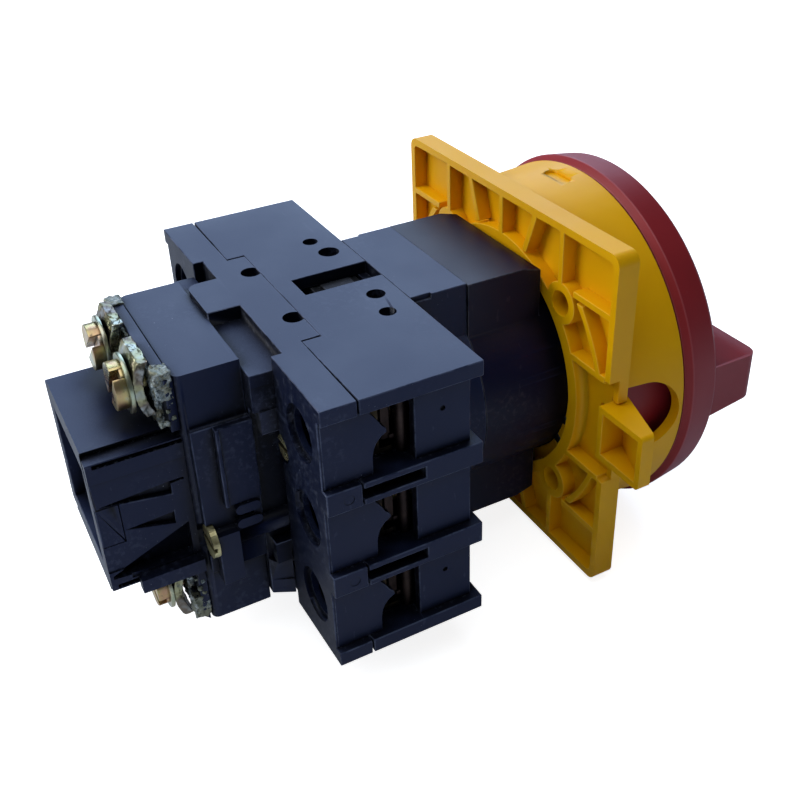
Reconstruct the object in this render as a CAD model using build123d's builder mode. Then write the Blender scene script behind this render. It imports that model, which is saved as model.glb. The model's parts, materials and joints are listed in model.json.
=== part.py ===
"""Rotary main switch with a padlockable front handle, built piece by piece, in millimetres.

The origin is the centre of the front plate's rear face, on the shaft axis. +Y runs to the rear,
through the switch body. The handle is on the -Y side. +Z is the direction in which the poles stack.
"""
import os

from build123d import *

# Clearances
slip = 0.3  # between pieces that slide past each other
running = 0.05  # radial, between a journal and its bore
touch_gap = 0.08  # between contact tips when they are closed

# Front plate, with its dome in one moulding
plate_side = 60.0
plate_thick = 3.6
plate_corner = 1.8
plate_skin = 1.2
rim_wall = 1.3
rib_wall = 1.1
fixing_pitch = 34.0
fixing_hole_radius = 2.1
boss_radius = 3.5
collar_wall = 2.2
ledge_wall = 1.9
ledge_gap = 0.2
ledge_depth = 1.5
hub_hole_radius = 9.0
arc_rib_inset = 0.7
rib_x = 16.6
rib_z = 19.9
side_rib_z = 9.2
slant_rib_x = 8.15
slant_rib_z = 25.3
slant_rib_length = 7.4
slant_rib_angle = 20.3
corner_rib_from = 20.0
dome_radius = 30.2
dome_flare = 0.9
dome_depth = 11.4
dome_wall = 1.8
dome_slot_half_width = 6.3
dome_slot_reach = 10.7
tab_gate_depth = 1.9
dimple_inset = 3.9
dimple_length = 6.0
dimple_width = 2.5
dimple_depth = 0.5

# Bayonet between the barrel and the collar
bayonet_angles = (16.0, 149.0, 164.0, 196.0, 211.0, 344.0)
bayonet_width = 1.6
bayonet_height = 1.2

# Padlock slide
tab_length = 8.6
tab_half_width = 4.75
tab_tip_depth = 2.2
tab_stand = 0.4
tab_root_inset = 1.6
tab_corner = 0.8
tab_wall = 1.1
slide_bar_thick = 1.25
slide_bar_length = 17.2
padlock_hole_radius = 2.2
padlock_hole_inset = 3.1
slide_travel = 7.4
peg_radius = 1.0
peg_head_radius = 1.8
peg_head_thick = 0.8
peg_inset = 7.2
peg_length = 1.55
rail_wall = 1.1
rail_length = 7.0

# Knob
knob_overhang = 0.8
knob_gap = 0.3
knob_thick = 7.0
knob_skin = 3.0
knob_wall = 2.5
knob_band_taper = 0.7
knob_rear_chamfer = 1.0
knob_edge_round = 1.0
skirt_gap = 1.2
skirt_wall = 1.8
skirt_end_gap = 1.9
hub_radius = 7.4
grip_height = 9.8
grip_inset = 1.7
grip_half_width = 4.7
grip_draft = 4.0
grip_end_round = 2.6
grip_pocket_wall = 1.9
grip_end_wall = 2.3
shaft_side = 6.0

# Knob screw and its cap
screw_shank_radius = 2.0
screw_head_radius = 3.5
screw_head_height = 2.4
screw_seat_wall = 1.7
screw_length = 10.0
cap_thick = 1.4

# Barrel behind the plate, with the detent inside
barrel_radius = 18.2
barrel_shoulder = 0.7
barrel_end = 13.9
barrel_bore = 14.0
barrel_front_wall = 1.5
hump_half_width = 12.7
hump_inset = 0.7
hump_front_drop = 0.9
hump_bevel = 3.3
star_radius = 8.6
star_notch_radius = 2.2
star_notch_depth = 0.5
star_thick = 5.6
journal_radius = 5.0
detent_half_width = 2.4
detent_length = 1.6
detent_nose = 1.6
detent_guide_wall = 2.0
detent_spring_radius = 1.8
spring_wall = 0.5

# Neck housing, with the cam drum inside
neck_half_width = 12.3
neck_length = 9.4
neck_front_wall = 1.0
neck_bore = 10.9
neck_slit_length = 3.3
neck_slit_width = 0.5
neck_slit_depth = 0.8
drum_radius = 8.4
groove_depth = 2.2
groove_width = 2.4
groove_lead = 3.1
drum_journal = 6.0
stroke = 3.6
knob_throw = 90.0

# Contact housing and rear housing
pole_pitch = 14.4
core_half_width = 14.7
tower_outer = 32.1
tower_length = 23.9
end_flange = 0.6
flange_thick = 3.6
rear_shell_length = 5.2
core_lap = 2.9
core_set_back = 1.6
cavity_half_width = 11.6
shell_wall = 2.0
front_wall = 1.5
bay_depth = 1.3
chamber_width = 11.6
chamber_wall = 1.6
chamber_front_wall = 3.1
rear_wall = 1.7
window_lead = 1.9
window_length = 6.5
driver_hole_radius = 3.4
driver_hole_mouth = 4.25
flange_slot_lead = 0.9
flange_slot_height = 1.8
flange_slot_depth = 1.8
top_slot_half_width = 2.75
top_slot_length = 12.7
stack_holes = ((13.9, 4.6, 1.25), (8.8, 3.6, 1.7), (-8.0, 3.7, 1.45), (-13.7, 4.7, 1.3))
stack_hole_depth = 2.6
seam_holes_x = (8.7, -8.1)
seam_hole_inset = 1.2
seam_hole_radius = 1.6
seam_slit = 0.3
seam_slit_depth = 1.0
platform_half_width = 16.4
platform_waist = 14.4
platform_step = 2.2
platform_length = 3.4
waist_half_height = 10.0
column_half_height = 13.8
column_inset = 0.9
ledge_line_z = 18.0
ledge_line_step = 0.3
notch_length = 1.7
notch_depth = 8.0
tongue_from = -0.5
tongue_to = 9.5
tongue_corner = 1.8
rear_bearing_wall = 2.0
body_screw_x = 16.8
body_screw_radius = 1.1
body_screw_head = 2.0
body_screw_head_height = 1.1
body_screw_sink = 1.3
body_screw_reach = 11.0

# Contacts
strip_thick = 1.4
strip_set_back = 6.8
strip_half_width = 3.4
strip_inner = 6.8
strip_end_gap = 0.8
tip_radius = 1.9
tip_height = 0.6
tip_x = 8.9
bridge_half_length = 10.8
bridge_half_width = 2.6
bridge_thick = 1.2
terminal_inset = 4.8
clamp_half_width = 3.9
clamp_thick = 1.3
clamp_gap = 0.8
clamp_lip = 0.8
terminal_shank = 1.75
terminal_head = 3.2
terminal_head_height = 2.3
terminal_length = 8.0
slot_width = 0.8

# Contact carrier
carrier_half_width = 4.2
carrier_web = 1.2
carrier_back = 2.6
yoke_half_width = 2.6
arm_thick = 1.5
arm_lead = 1.6
follower_radius = 1.1
spring_radius = 2.1
lug_half_width = 2.4
lug_lead = 3.2
lug_length = 5.0
stem_half_width = 2.6
stem_reach = 1.0
stem_gap = 0.1

# Auxiliary contact block
aux_half_width = 13.4
aux_waist_half_width = 14.6
aux_top_step = 0.9
aux_waist_half_height = 12.7
aux_waist_step = 0.7
aux_length = 9.4
aux_ledge = 1.3
aux_corner = 1.1
aux_seat_half_width = 12.9
aux_seat_step = 0.4
aux_front_wall = 1.5
aux_cavity_half_width = 9.3
aux_cavity_half_height = 10.6
cover_half_width = 12.5
cover_top_half_width = 10.7
cover_half_height = 12.3
cover_length = 13.5
cover_wall = 1.5
cover_step = 1.1
cover_groove = 0.7
cover_groove_z = 10.3
cover_groove_end = 0.9
cover_seam_z = 7.9
cover_seam_step = 0.25
wedge_depth = 0.9
high_wedge = ((13.0, 3.7), (2.6, 4.4), (0.6, 4.4), (0.6, 4.0), (2.6, 3.9), (2.6, 2.1))
low_wedge = ((10.0, -1.4), (2.8, -1.0), (2.8, -3.2))
hollow_depth = 1.9
hollow = ((13.0, -8.6), (1.0, -3.6), (1.0, -9.8), (13.0, -9.2))
lip_length = 3.1
low_flange_length = 9.5
low_flange_z = (-12.3, -10.0)
low_flange_stand = 1.5
cover_mouth_depth = 5.5
cover_mouth_half_width = 9.0
cover_mouth_half_height = 8.5
aux_terminal_x = 6.1
aux_terminal_rise = 5.1
aux_plate_thick = 1.0
aux_plate_half_width = 4.3
aux_plate_reach = 3.6
aux_strip_half_width = 2.1
aux_tip_radius = 1.4
aux_tip_height = 0.5
aux_bridge_inset = 2.8
aux_bridge_thick = 1.0
aux_bridge_half_width = 1.8
aux_bridge_half_length = 7.9
aux_spring_radius = 1.6
saddle_thick = 1.4
saddle_gap = 0.2
saddle_bow = 1.1
saddle_half_width = 4.0
saddle_reach = 3.9
washer_radius = 4.1
washer_thick = 0.7
aux_shank = 1.75
aux_head_radius = 3.3
aux_head_height = 2.4
aux_screw_length = 6.5
aux_screw_x = 14.6
aux_screw_z = 6.5
aux_screw_shank = 1.1
aux_screw_grip = 4.0
aux_screw_head = 2.6
aux_screw_head_height = 1.6
aux_screw_sink = 1.8
aux_sleeve_radius = 1.7
aux_ear_length = 3.3
aux_ear_half_width = 16.4
aux_ear_z = (5.0, 14.2)
plunger_half_width = 2.9
plunger_reach = 2.4
latch_thick = 1.0
latch_lead = 0.4
latch_length = 5.2
latch_top = 12.7
latch_foot = -0.7
latch_rib_inset = 1.6
latch_rib_z = (-2.1, -3.9)
latch_rib_height = 1.2
latch_edge = 0.6
latch_edge_stand = 0.4

# Positions worked out from the sizes above
half_side = plate_side / 2
neck_end = barrel_end + neck_length
tower_end = neck_end + tower_length
tower_seam = tower_end - rear_shell_length
core_end = tower_end - core_set_back
core_seam = tower_seam - core_lap
platform_end = tower_end + platform_length
aux_end = platform_end + aux_length
aux_waist_end = aux_end - aux_waist_step
cover_end = aux_end + cover_length
cover_floor = cover_end - cover_mouth_depth
body_half_height = 1.5 * pole_pitch + end_flange
cavity_half_height = body_half_height - shell_wall
platform_half_height = body_half_height - platform_step
aux_half_height = body_half_height - aux_top_step
hump_height = body_half_height - hump_inset
hump_front_height = hump_height - hump_front_drop
body_screws_at = ((-body_screw_x, pole_pitch / 2), (body_screw_x, -pole_pitch / 2))
aux_screws_at = ((-aux_screw_x, -aux_screw_z), (aux_screw_x, aux_screw_z))
fixing_holes = [(x * fixing_pitch / 2, z * fixing_pitch / 2) for x in (-1, 1) for z in (-1, 1)]
inner_half = half_side - rim_wall
plate_front = -plate_thick
skin_rear = plate_front + plate_skin
pocket_depth = plate_thick - plate_skin
ledge_inner = barrel_radius + ledge_gap
collar_inner = ledge_inner + ledge_wall
collar_outer = collar_inner + collar_wall
dome_base_radius = dome_radius - dome_flare
arc_rib_radius = dome_base_radius - arc_rib_inset
dome_front = plate_front - dome_depth
dome_slot_end = plate_front - dome_slot_reach
tab_root = half_side - tab_root_inset
tab_tip = half_side + tab_length
bar_rear = plate_front - slip / 2
bar_front = bar_rear - slide_bar_thick
peg_x = peg_inset - tab_root
peg_head = plate_front - peg_length
rail_outer = dome_wall - dome_base_radius
rail_inner = rail_outer + rail_length
knob_rear = dome_front - knob_gap
knob_front = knob_rear - knob_thick
knob_radius = dome_radius + knob_overhang
skirt_radius = dome_base_radius - dome_wall - skirt_gap
grip_half_length = knob_radius - grip_inset
grip_pocket_end = grip_half_length - grip_end_wall
grip_front = knob_front - grip_height
skirt_end = plate_front - skirt_end_gap
screw_seat = knob_front + screw_seat_wall
shaft_front = screw_seat + screw_seat_wall
star_front = skin_rear + barrel_front_wall + slip
star_rear = star_front + star_thick
groove_start = barrel_end + groove_lead
drum_front = groove_start - groove_width / 2 - 0.6
drum_end = groove_start + stroke + groove_width / 2 + 0.5
bearing_end = neck_end + front_wall
shaft_end = bearing_end
shaft_fit = shaft_side / 2 + running
stem_fit = stem_half_width + slip
poles = (-pole_pitch, 0.0, pole_pitch)
pole_sides = [(side, z) for z in poles for side in (-1, 1)]
bay_wall_x = tower_outer - bay_depth
bay_half_height = (pole_pitch - flange_thick) / 2
chamber_outer = bay_wall_x - chamber_wall
chamber_inner = chamber_outer - chamber_width
chamber_front = neck_end + chamber_front_wall
terminal_x = chamber_outer - terminal_inset
strip_outer = chamber_outer - strip_end_gap
strip_front = tower_seam - strip_set_back
window_front = strip_front - window_lead
window_rear = window_front + window_length
flange_slot_from = window_front - flange_slot_lead
top_slot_rear = neck_end + top_slot_length
seam_hole_y = core_seam + seam_hole_inset
tip_face = strip_front - tip_height
bridge_tip_face = tip_face - touch_gap - stroke
bridge_rear = bridge_tip_face - tip_height
bridge_front = bridge_rear - bridge_thick
carrier_front = bearing_end + slip
carrier_rear = bridge_rear + carrier_back
lug_front = neck_end + lug_lead
stem_end = tower_seam + stem_reach
arm_inner = drum_radius + slip
arm_outer = arm_inner + arm_thick
clamp_front = strip_front + strip_thick + clamp_gap
terminal_seat = clamp_front + clamp_thick
aux_terminal_z = cover_half_height + aux_terminal_rise
aux_plate_outer = aux_terminal_z + aux_plate_reach
aux_plate_front = aux_end + aux_ledge
aux_plate_rear = aux_plate_front + aux_plate_thick
aux_tip_face = aux_plate_front - aux_tip_height
aux_bridge_tip_face = aux_tip_face - touch_gap - stroke
aux_bridge_rear = aux_bridge_tip_face - aux_tip_height
aux_bridge_front = aux_bridge_rear - aux_bridge_thick
aux_screw_seat = aux_end - aux_screw_sink
aux_ear_front = aux_screw_seat - aux_ear_length
plunger_half_height = cover_half_height - cover_step - cover_wall - slip
aux_bridge_z = plunger_half_height - aux_bridge_inset
plunger_front = platform_end + aux_front_wall + slip
plunger_end = aux_end + plunger_reach
latch_front = platform_end + latch_lead
latch_rear = latch_front + latch_length
latch_rib_rear = latch_rear - latch_rib_inset
saddle_foot = aux_plate_rear + saddle_gap
saddle_rear = saddle_foot + saddle_bow + saddle_thick
washer_rear = saddle_rear + washer_thick

yellow = (0.85, 0.6, 0.1)
red = (0.6, 0.1, 0.15)
black = (0.12, 0.13, 0.16)
brown = (0.2, 0.16, 0.16)
steel = (0.6, 0.6, 0.62)
copper = (0.75, 0.45, 0.3)
zinc = (0.75, 0.68, 0.4)

os.makedirs("parts", exist_ok=True)


def across(y):
    """Plane at this y. Sketch x is X, sketch y is Z, and a sketch on it is extruded towards -Y."""
    return Plane.XZ.offset(-y)


def block(x_range, y_range, z_range, mode=Mode.ADD):
    """Box between three pairs of limits, in the part that is being built."""
    with BuildSketch(across(y_range[1])) as profile:
        with Locations((sum(x_range) / 2, sum(z_range) / 2)):
            Rectangle(x_range[1] - x_range[0], z_range[1] - z_range[0])
    extrude(profile.sketch, amount=y_range[1] - y_range[0], mode=mode)


def post(radius, y_range, centres=((0, 0),), mode=Mode.ADD):
    """Round posts or holes along Y, at these (x, z) centres."""
    with BuildSketch(across(y_range[1])) as profile:
        with Locations(*centres):
            Circle(radius)
    extrude(profile.sketch, amount=y_range[1] - y_range[0], mode=mode)


def both(size):
    """Limits that are the same distance on both sides of the middle."""
    return (-size, size)


def mirrored(side, low, high):
    """Limits between two sizes, on the positive side (1) or the negative side (-1)."""
    return sorted((side * low, side * high))


def finish(part, name, colour):
    """Label a finished piece and write it."""
    part.label = name
    part.color = Color(*colour)
    export_step(part, f"parts/{name}.step")


# Front plate: a square skin with a rim, ribs, bosses and a collar behind, and the dome in front
with BuildPart() as front_plate:
    with BuildSketch(across(0)):
        RectangleRounded(plate_side, plate_side, plate_corner)
        RectangleRounded(2 * inner_half, 2 * inner_half, plate_corner / 2, mode=Mode.SUBTRACT)
    extrude(amount=plate_thick)
    with BuildSketch(across(skin_rear)):
        RectangleRounded(plate_side, plate_side, plate_corner)
    extrude(amount=plate_skin)
    # Straight ribs from the collar to the rim
    with BuildSketch(across(0)):
        Rectangle(rib_wall, 2 * inner_half)
        for side in (-1, 1):
            with Locations((side * rib_x, 0)):
                Rectangle(rib_wall, 2 * inner_half)
            with Locations((0, side * side_rib_z)):
                Rectangle(2 * inner_half, rib_wall)
            for end in (-1, 1):
                slant = Location((side * slant_rib_x, end * slant_rib_z), -side * end * slant_rib_angle)
                with Locations(slant):
                    Rectangle(rib_wall, slant_rib_length)
                with Locations((side * (inner_half + corner_rib_from) / 2, end * rib_z)):
                    Rectangle(inner_half - corner_rib_from, rib_wall)
        Circle(collar_outer - collar_wall / 2, mode=Mode.SUBTRACT)
    extrude(amount=pocket_depth)
    # Curved ribs over the dome's edge
    with BuildSketch(across(0)):
        Circle(arc_rib_radius + rib_wall / 2)
        Circle(arc_rib_radius - rib_wall / 2, mode=Mode.SUBTRACT)
        Rectangle(plate_side, 2 * (rib_z - rib_wall), mode=Mode.INTERSECT)
        Rectangle(plate_side, 2 * side_rib_z, mode=Mode.SUBTRACT)
    extrude(amount=pocket_depth)
    # Collar, with its notched inner ledge
    with BuildSketch(across(0)):
        Circle(collar_outer)
        Circle(collar_inner, mode=Mode.SUBTRACT)
    extrude(amount=pocket_depth)
    with BuildSketch(across(-ledge_depth)):
        Circle(collar_inner)
        Circle(ledge_inner, mode=Mode.SUBTRACT)
        for angle in bayonet_angles:
            with Locations(Rot(0, 0, angle) * Pos(ledge_inner, 0)):
                Rectangle(2 * bayonet_height + slip, bayonet_width + slip, mode=Mode.SUBTRACT)
    extrude(amount=pocket_depth - ledge_depth)
    post(boss_radius, (skin_rear, 0), fixing_holes)
    with BuildSketch(Plane.XY):
        with BuildLine():
            Polyline(
                (dome_base_radius - dome_wall, skin_rear),
                (dome_base_radius, skin_rear),
                (dome_base_radius, plate_front),
                (dome_radius, dome_front),
                (dome_radius - dome_wall, dome_front),
                close=True,
            )
        make_face()
    revolve(axis=Axis.Y)
    # Openings for the knob's hub, the fixing screws and the padlock slide
    post(hub_hole_radius, (plate_front, 0), mode=Mode.SUBTRACT)
    post(fixing_hole_radius, (plate_front, 0), fixing_holes, mode=Mode.SUBTRACT)
    with BuildSketch(Plane.YZ.offset(-dome_base_radius + 2 * dome_wall)):
        with Locations((dome_slot_end + dome_slot_half_width, 0)):
            Circle(dome_slot_half_width)
        with Locations(((dome_slot_end + dome_slot_half_width + plate_front) / 2, 0)):
            Rectangle(dome_slot_reach - dome_slot_half_width, 2 * dome_slot_half_width)
    extrude(amount=-4 * dome_wall, mode=Mode.SUBTRACT)
    block((-half_side, slip - tab_root), (plate_front, 0), both(tab_half_width + slip), Mode.SUBTRACT)
    block((-half_side, -inner_half), (-tab_gate_depth, 0), both(side_rib_z), Mode.SUBTRACT)
    # Shallow oval dimple on top of the dome
    with BuildSketch(Plane.XY.offset(dome_radius)):
        with Locations((0, dome_front + dimple_inset)):
            SlotOverall(dimple_length, dimple_width)
    extrude(amount=-dimple_depth - dome_flare / 2, mode=Mode.SUBTRACT)
    # Rails and the peg that guide and keep the slide
    rail_z = tab_half_width + slip
    for side in (-1, 1):
        z_range = mirrored(side, rail_z, rail_z + rail_wall)
        block((rail_outer, rail_inner), (bar_front, plate_front), z_range)
    post(peg_radius, (peg_head, plate_front), ((peg_x, 0),))
    post(peg_head_radius, (peg_head - peg_head_thick, peg_head), ((peg_x, 0),))
finish(front_plate.part, "front_plate", yellow)

# Padlock slide: a hollow wedge to pull on, and a slotted bar that lies on the dome's floor
with BuildPart() as padlock_slide:
    with BuildSketch(Plane.XY):
        with BuildLine():
            Polyline(
                (-tab_root, tab_stand),
                (-tab_root, bar_front),
                (-tab_tip, tab_stand - tab_tip_depth),
                (-tab_tip, tab_stand),
                close=True,
            )
        make_face()
    extrude(amount=tab_half_width, both=True)
    corners = padlock_slide.edges().filter_by(Axis.Y).group_by(Axis.X)[0]
    fillet(corners, tab_corner)
    # Hollow behind, with an even wall
    with BuildSketch(Plane.XY):
        with BuildLine():
            Polyline(
                (-tab_root - tab_wall, tab_stand),
                (-tab_root - tab_wall, bar_front + tab_wall),
                (tab_wall - tab_tip, tab_stand - tab_tip_depth + tab_wall),
                (tab_wall - tab_tip, tab_stand),
                close=True,
            )
        make_face()
    extrude(amount=tab_half_width - tab_wall, both=True, mode=Mode.SUBTRACT)
    block((-tab_root, slide_bar_length - tab_root), (bar_front, bar_rear), both(tab_half_width))
    post(padlock_hole_radius, (bar_front, bar_rear), ((padlock_hole_inset - tab_root, 0),), Mode.SUBTRACT)
    with BuildSketch(across(bar_rear)):
        with Locations((peg_x + slide_travel / 2, 0)):
            SlotOverall(slide_travel + 2 * (peg_radius + slip), 2 * (peg_radius + slip))
    extrude(amount=slide_bar_thick, mode=Mode.SUBTRACT)
finish(padlock_slide.part, "padlock_slide", yellow)

# Knob: a turned shell with a skirt and hub behind, and a tapered grip bar across the front
with BuildPart() as knob:
    with BuildSketch(Plane.XY):
        with BuildLine():
            Polyline(
                (0, knob_front),
                (knob_radius - knob_edge_round - knob_band_taper, knob_front),
                (knob_radius - knob_band_taper, knob_front + knob_edge_round),
                (knob_radius, knob_rear - knob_rear_chamfer),
                (knob_radius - knob_rear_chamfer, knob_rear),
                (knob_radius - knob_wall, knob_rear),
                (knob_radius - knob_wall, knob_front + knob_skin),
                (skirt_radius, knob_front + knob_skin),
                (skirt_radius, skirt_end),
                (skirt_radius - skirt_wall, skirt_end),
                (skirt_radius - skirt_wall, knob_front + knob_skin),
                (hub_radius, knob_front + knob_skin),
                (hub_radius, skirt_end),
                (0, skirt_end),
                close=True,
            )
        make_face()
    revolve(axis=Axis.Y)
    with BuildSketch(across(knob_front + knob_edge_round)):
        Rectangle(2 * grip_half_length, 2 * grip_half_width)
    extrude(amount=grip_height + knob_edge_round, taper=grip_draft)
    grip_ends = knob.faces().sort_by(Axis.Y)[0].edges().filter_by(Axis.Z)
    fillet(grip_ends, grip_end_round)
    # Hollow behind the grip
    with BuildSketch(across(knob_front + knob_skin)):
        pocket_length = grip_pocket_end - hub_radius - grip_pocket_wall
        pocket_mid = grip_pocket_end - pocket_length / 2
        with Locations((-pocket_mid, 0), (pocket_mid, 0)):
            Rectangle(pocket_length, 2 * (grip_half_width - grip_pocket_wall))
    extrude(amount=knob_skin + grip_height - grip_pocket_wall, taper=grip_draft, mode=Mode.SUBTRACT)
    # Square socket for the shaft, and the stepped hole of the screw
    with BuildSketch(across(skirt_end)):
        Rectangle(shaft_side + 2 * running, shaft_side + 2 * running)
    extrude(amount=skirt_end - shaft_front, mode=Mode.SUBTRACT)
    post(screw_shank_radius + running, (screw_seat, shaft_front), mode=Mode.SUBTRACT)
    post(screw_head_radius + slip, (grip_front, screw_seat), mode=Mode.SUBTRACT)
finish(knob.part, "knob", red)

with BuildPart() as knob_screw:
    post(screw_shank_radius, (screw_seat, screw_seat + screw_length))
    post(screw_head_radius, (screw_seat - screw_head_height, screw_seat))
    block(both(slot_width / 2), (screw_seat - screw_head_height, screw_seat - screw_head_height / 2),
          both(screw_head_radius), Mode.SUBTRACT)
finish(knob_screw.part, "knob_screw", steel)

with BuildPart() as screw_cap:
    post(screw_head_radius + slip - running, (grip_front, grip_front + cap_thick))
    chamfer(screw_cap.faces().sort_by(Axis.Y)[0].edges(), cap_thick / 5)
finish(screw_cap.part, "screw_cap", red)

# Square shaft, tapped for the knob's screw
with BuildPart() as shaft:
    block(both(shaft_side / 2), (shaft_front, shaft_end), both(shaft_side / 2))
    ends = shaft.edges().filter_by(Axis.Y, reverse=True)
    chamfer(ends, shaft_side / 12)
    post(screw_shank_radius + running, (shaft_front, screw_seat + screw_length + slip), mode=Mode.SUBTRACT)
finish(shaft.part, "shaft", steel)

# Barrel: a round shell with a hump above and below, and guides for the two detent plungers
guide_half = detent_half_width + slip / 2
with BuildPart() as barrel:
    post(barrel_radius, (skin_rear, barrel_end))
    with BuildSketch(Plane.YZ):
        with BuildLine():
            Polyline(
                (barrel_shoulder, -hump_front_height),
                (barrel_shoulder, hump_front_height),
                (barrel_shoulder + hump_bevel, hump_height),
                (barrel_end, hump_height),
                (barrel_end, -hump_height),
                (barrel_shoulder + hump_bevel, -hump_height),
                close=True,
            )
        make_face()
    extrude(amount=hump_half_width, both=True)
    post(barrel_bore, (skin_rear + barrel_front_wall, barrel_end), mode=Mode.SUBTRACT)
    post(journal_radius + running, (skin_rear, barrel_end), mode=Mode.SUBTRACT)
    for side in (-1, 1):
        block(both(guide_half + detent_guide_wall), (skin_rear + barrel_front_wall, star_rear + slip),
              mirrored(side, star_radius + slip, barrel_bore))
        block(both(guide_half), (skin_rear + barrel_front_wall, star_rear + slip),
              mirrored(side, star_radius, barrel_bore), Mode.SUBTRACT)
    # Bayonet lugs in the notches of the plate's ledge
    with BuildSketch(across(-ledge_depth)):
        for angle in bayonet_angles:
            with Locations(Rot(0, 0, angle) * Pos(barrel_radius, 0)):
                Rectangle(2 * bayonet_height, bayonet_width)
    extrude(amount=pocket_depth - ledge_depth)
finish(barrel.part, "barrel", brown)

# Detent star on the shaft, with a journal that turns in the barrel's front wall
with BuildPart() as detent_star:
    with BuildSketch(across(star_rear)):
        Circle(star_radius)
        with PolarLocations(star_radius + star_notch_radius - star_notch_depth, 4):
            Circle(star_notch_radius, mode=Mode.SUBTRACT)
    extrude(amount=star_thick)
    post(journal_radius, (plate_front, star_front))
    block(both(shaft_fit), (plate_front, star_rear), both(shaft_fit), Mode.SUBTRACT)
finish(detent_star.part, "detent_star", black)

# Detent plungers stand just off the star's lobes, with their springs behind them
nose_z = star_radius + running + detent_nose
with BuildPart() as detent_plungers:
    with BuildSketch(across(star_rear)):
        for side in (-1, 1):
            with Locations((0, side * nose_z)):
                Circle(detent_nose)
            with Locations((0, side * (nose_z + detent_length / 2))):
                Rectangle(2 * detent_half_width, detent_length)
    extrude(amount=star_thick)
finish(detent_plungers.part, "detent_plungers", steel)

with BuildPart() as detent_springs:
    for side in (-1, 1):
        with BuildSketch(Plane.XY.offset(side * barrel_bore)):
            with Locations((0, (star_front + star_rear) / 2)):
                Circle(detent_spring_radius)
                Circle(detent_spring_radius - spring_wall, mode=Mode.SUBTRACT)
        extrude(amount=-side * (barrel_bore - nose_z - detent_length))
finish(detent_springs.part, "detent_springs", steel)

# Neck housing: a flat-sided block over a round shell, with the bore that the cam drum turns in
with BuildPart() as neck_housing:
    block(both(neck_half_width), (barrel_end, neck_end), both(body_half_height))
    post(barrel_radius, (barrel_end, neck_end))
    for side in (-1, 1):
        for end in (-1, 1):
            block(mirrored(side, neck_half_width - neck_slit_width, neck_half_width),
                  (neck_end - neck_slit_length, neck_end),
                  mirrored(end, body_half_height - neck_slit_depth, body_half_height), Mode.SUBTRACT)
    post(neck_bore, (barrel_end + neck_front_wall, neck_end), mode=Mode.SUBTRACT)
    post(drum_journal + running, (barrel_end, neck_end), mode=Mode.SUBTRACT)
finish(neck_housing.part, "neck_housing", brown)

# Cam drum: two helical grooves, half a turn apart, push the carrier's followers along the shaft
groove_path = Helix(
    stroke * 360 / knob_throw, stroke, drum_radius - groove_depth / 2, (0, groove_start, 0), (0, 1, 0),
    lefthand=True
)
with BuildPart() as groove:
    with BuildSketch(Plane(groove_path @ 0, x_dir=(0, 0, 1), z_dir=groove_path % 0)):
        with Locations((slip, 0)):
            Rectangle(groove_depth + 2 * slip, groove_width)
    sweep(path=groove_path, is_frenet=True)
with BuildPart() as cam_drum:
    post(drum_radius, (drum_front, drum_end))
    for turn in (0, 180):
        add(groove.part, rotation=(0, turn, 0), mode=Mode.SUBTRACT)
    # Round ends of the grooves, where the followers stand at OFF and at ON
    for plane, centre in ((Plane.XY, (0, groove_start)), (Plane.YZ, (groove_start + stroke, 0))):
        for side in (-1, 1):
            with BuildSketch(plane.offset(side * drum_radius)):
                with Locations(centre):
                    Circle(groove_width / 2)
            extrude(amount=-side * groove_depth, mode=Mode.SUBTRACT)
    post(drum_journal, (barrel_end, drum_front))
    post(journal_radius, (drum_end, bearing_end))
    block(both(shaft_fit), (barrel_end, bearing_end), both(shaft_fit), Mode.SUBTRACT)
finish(cam_drum.part, "cam_drum", black)

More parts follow.
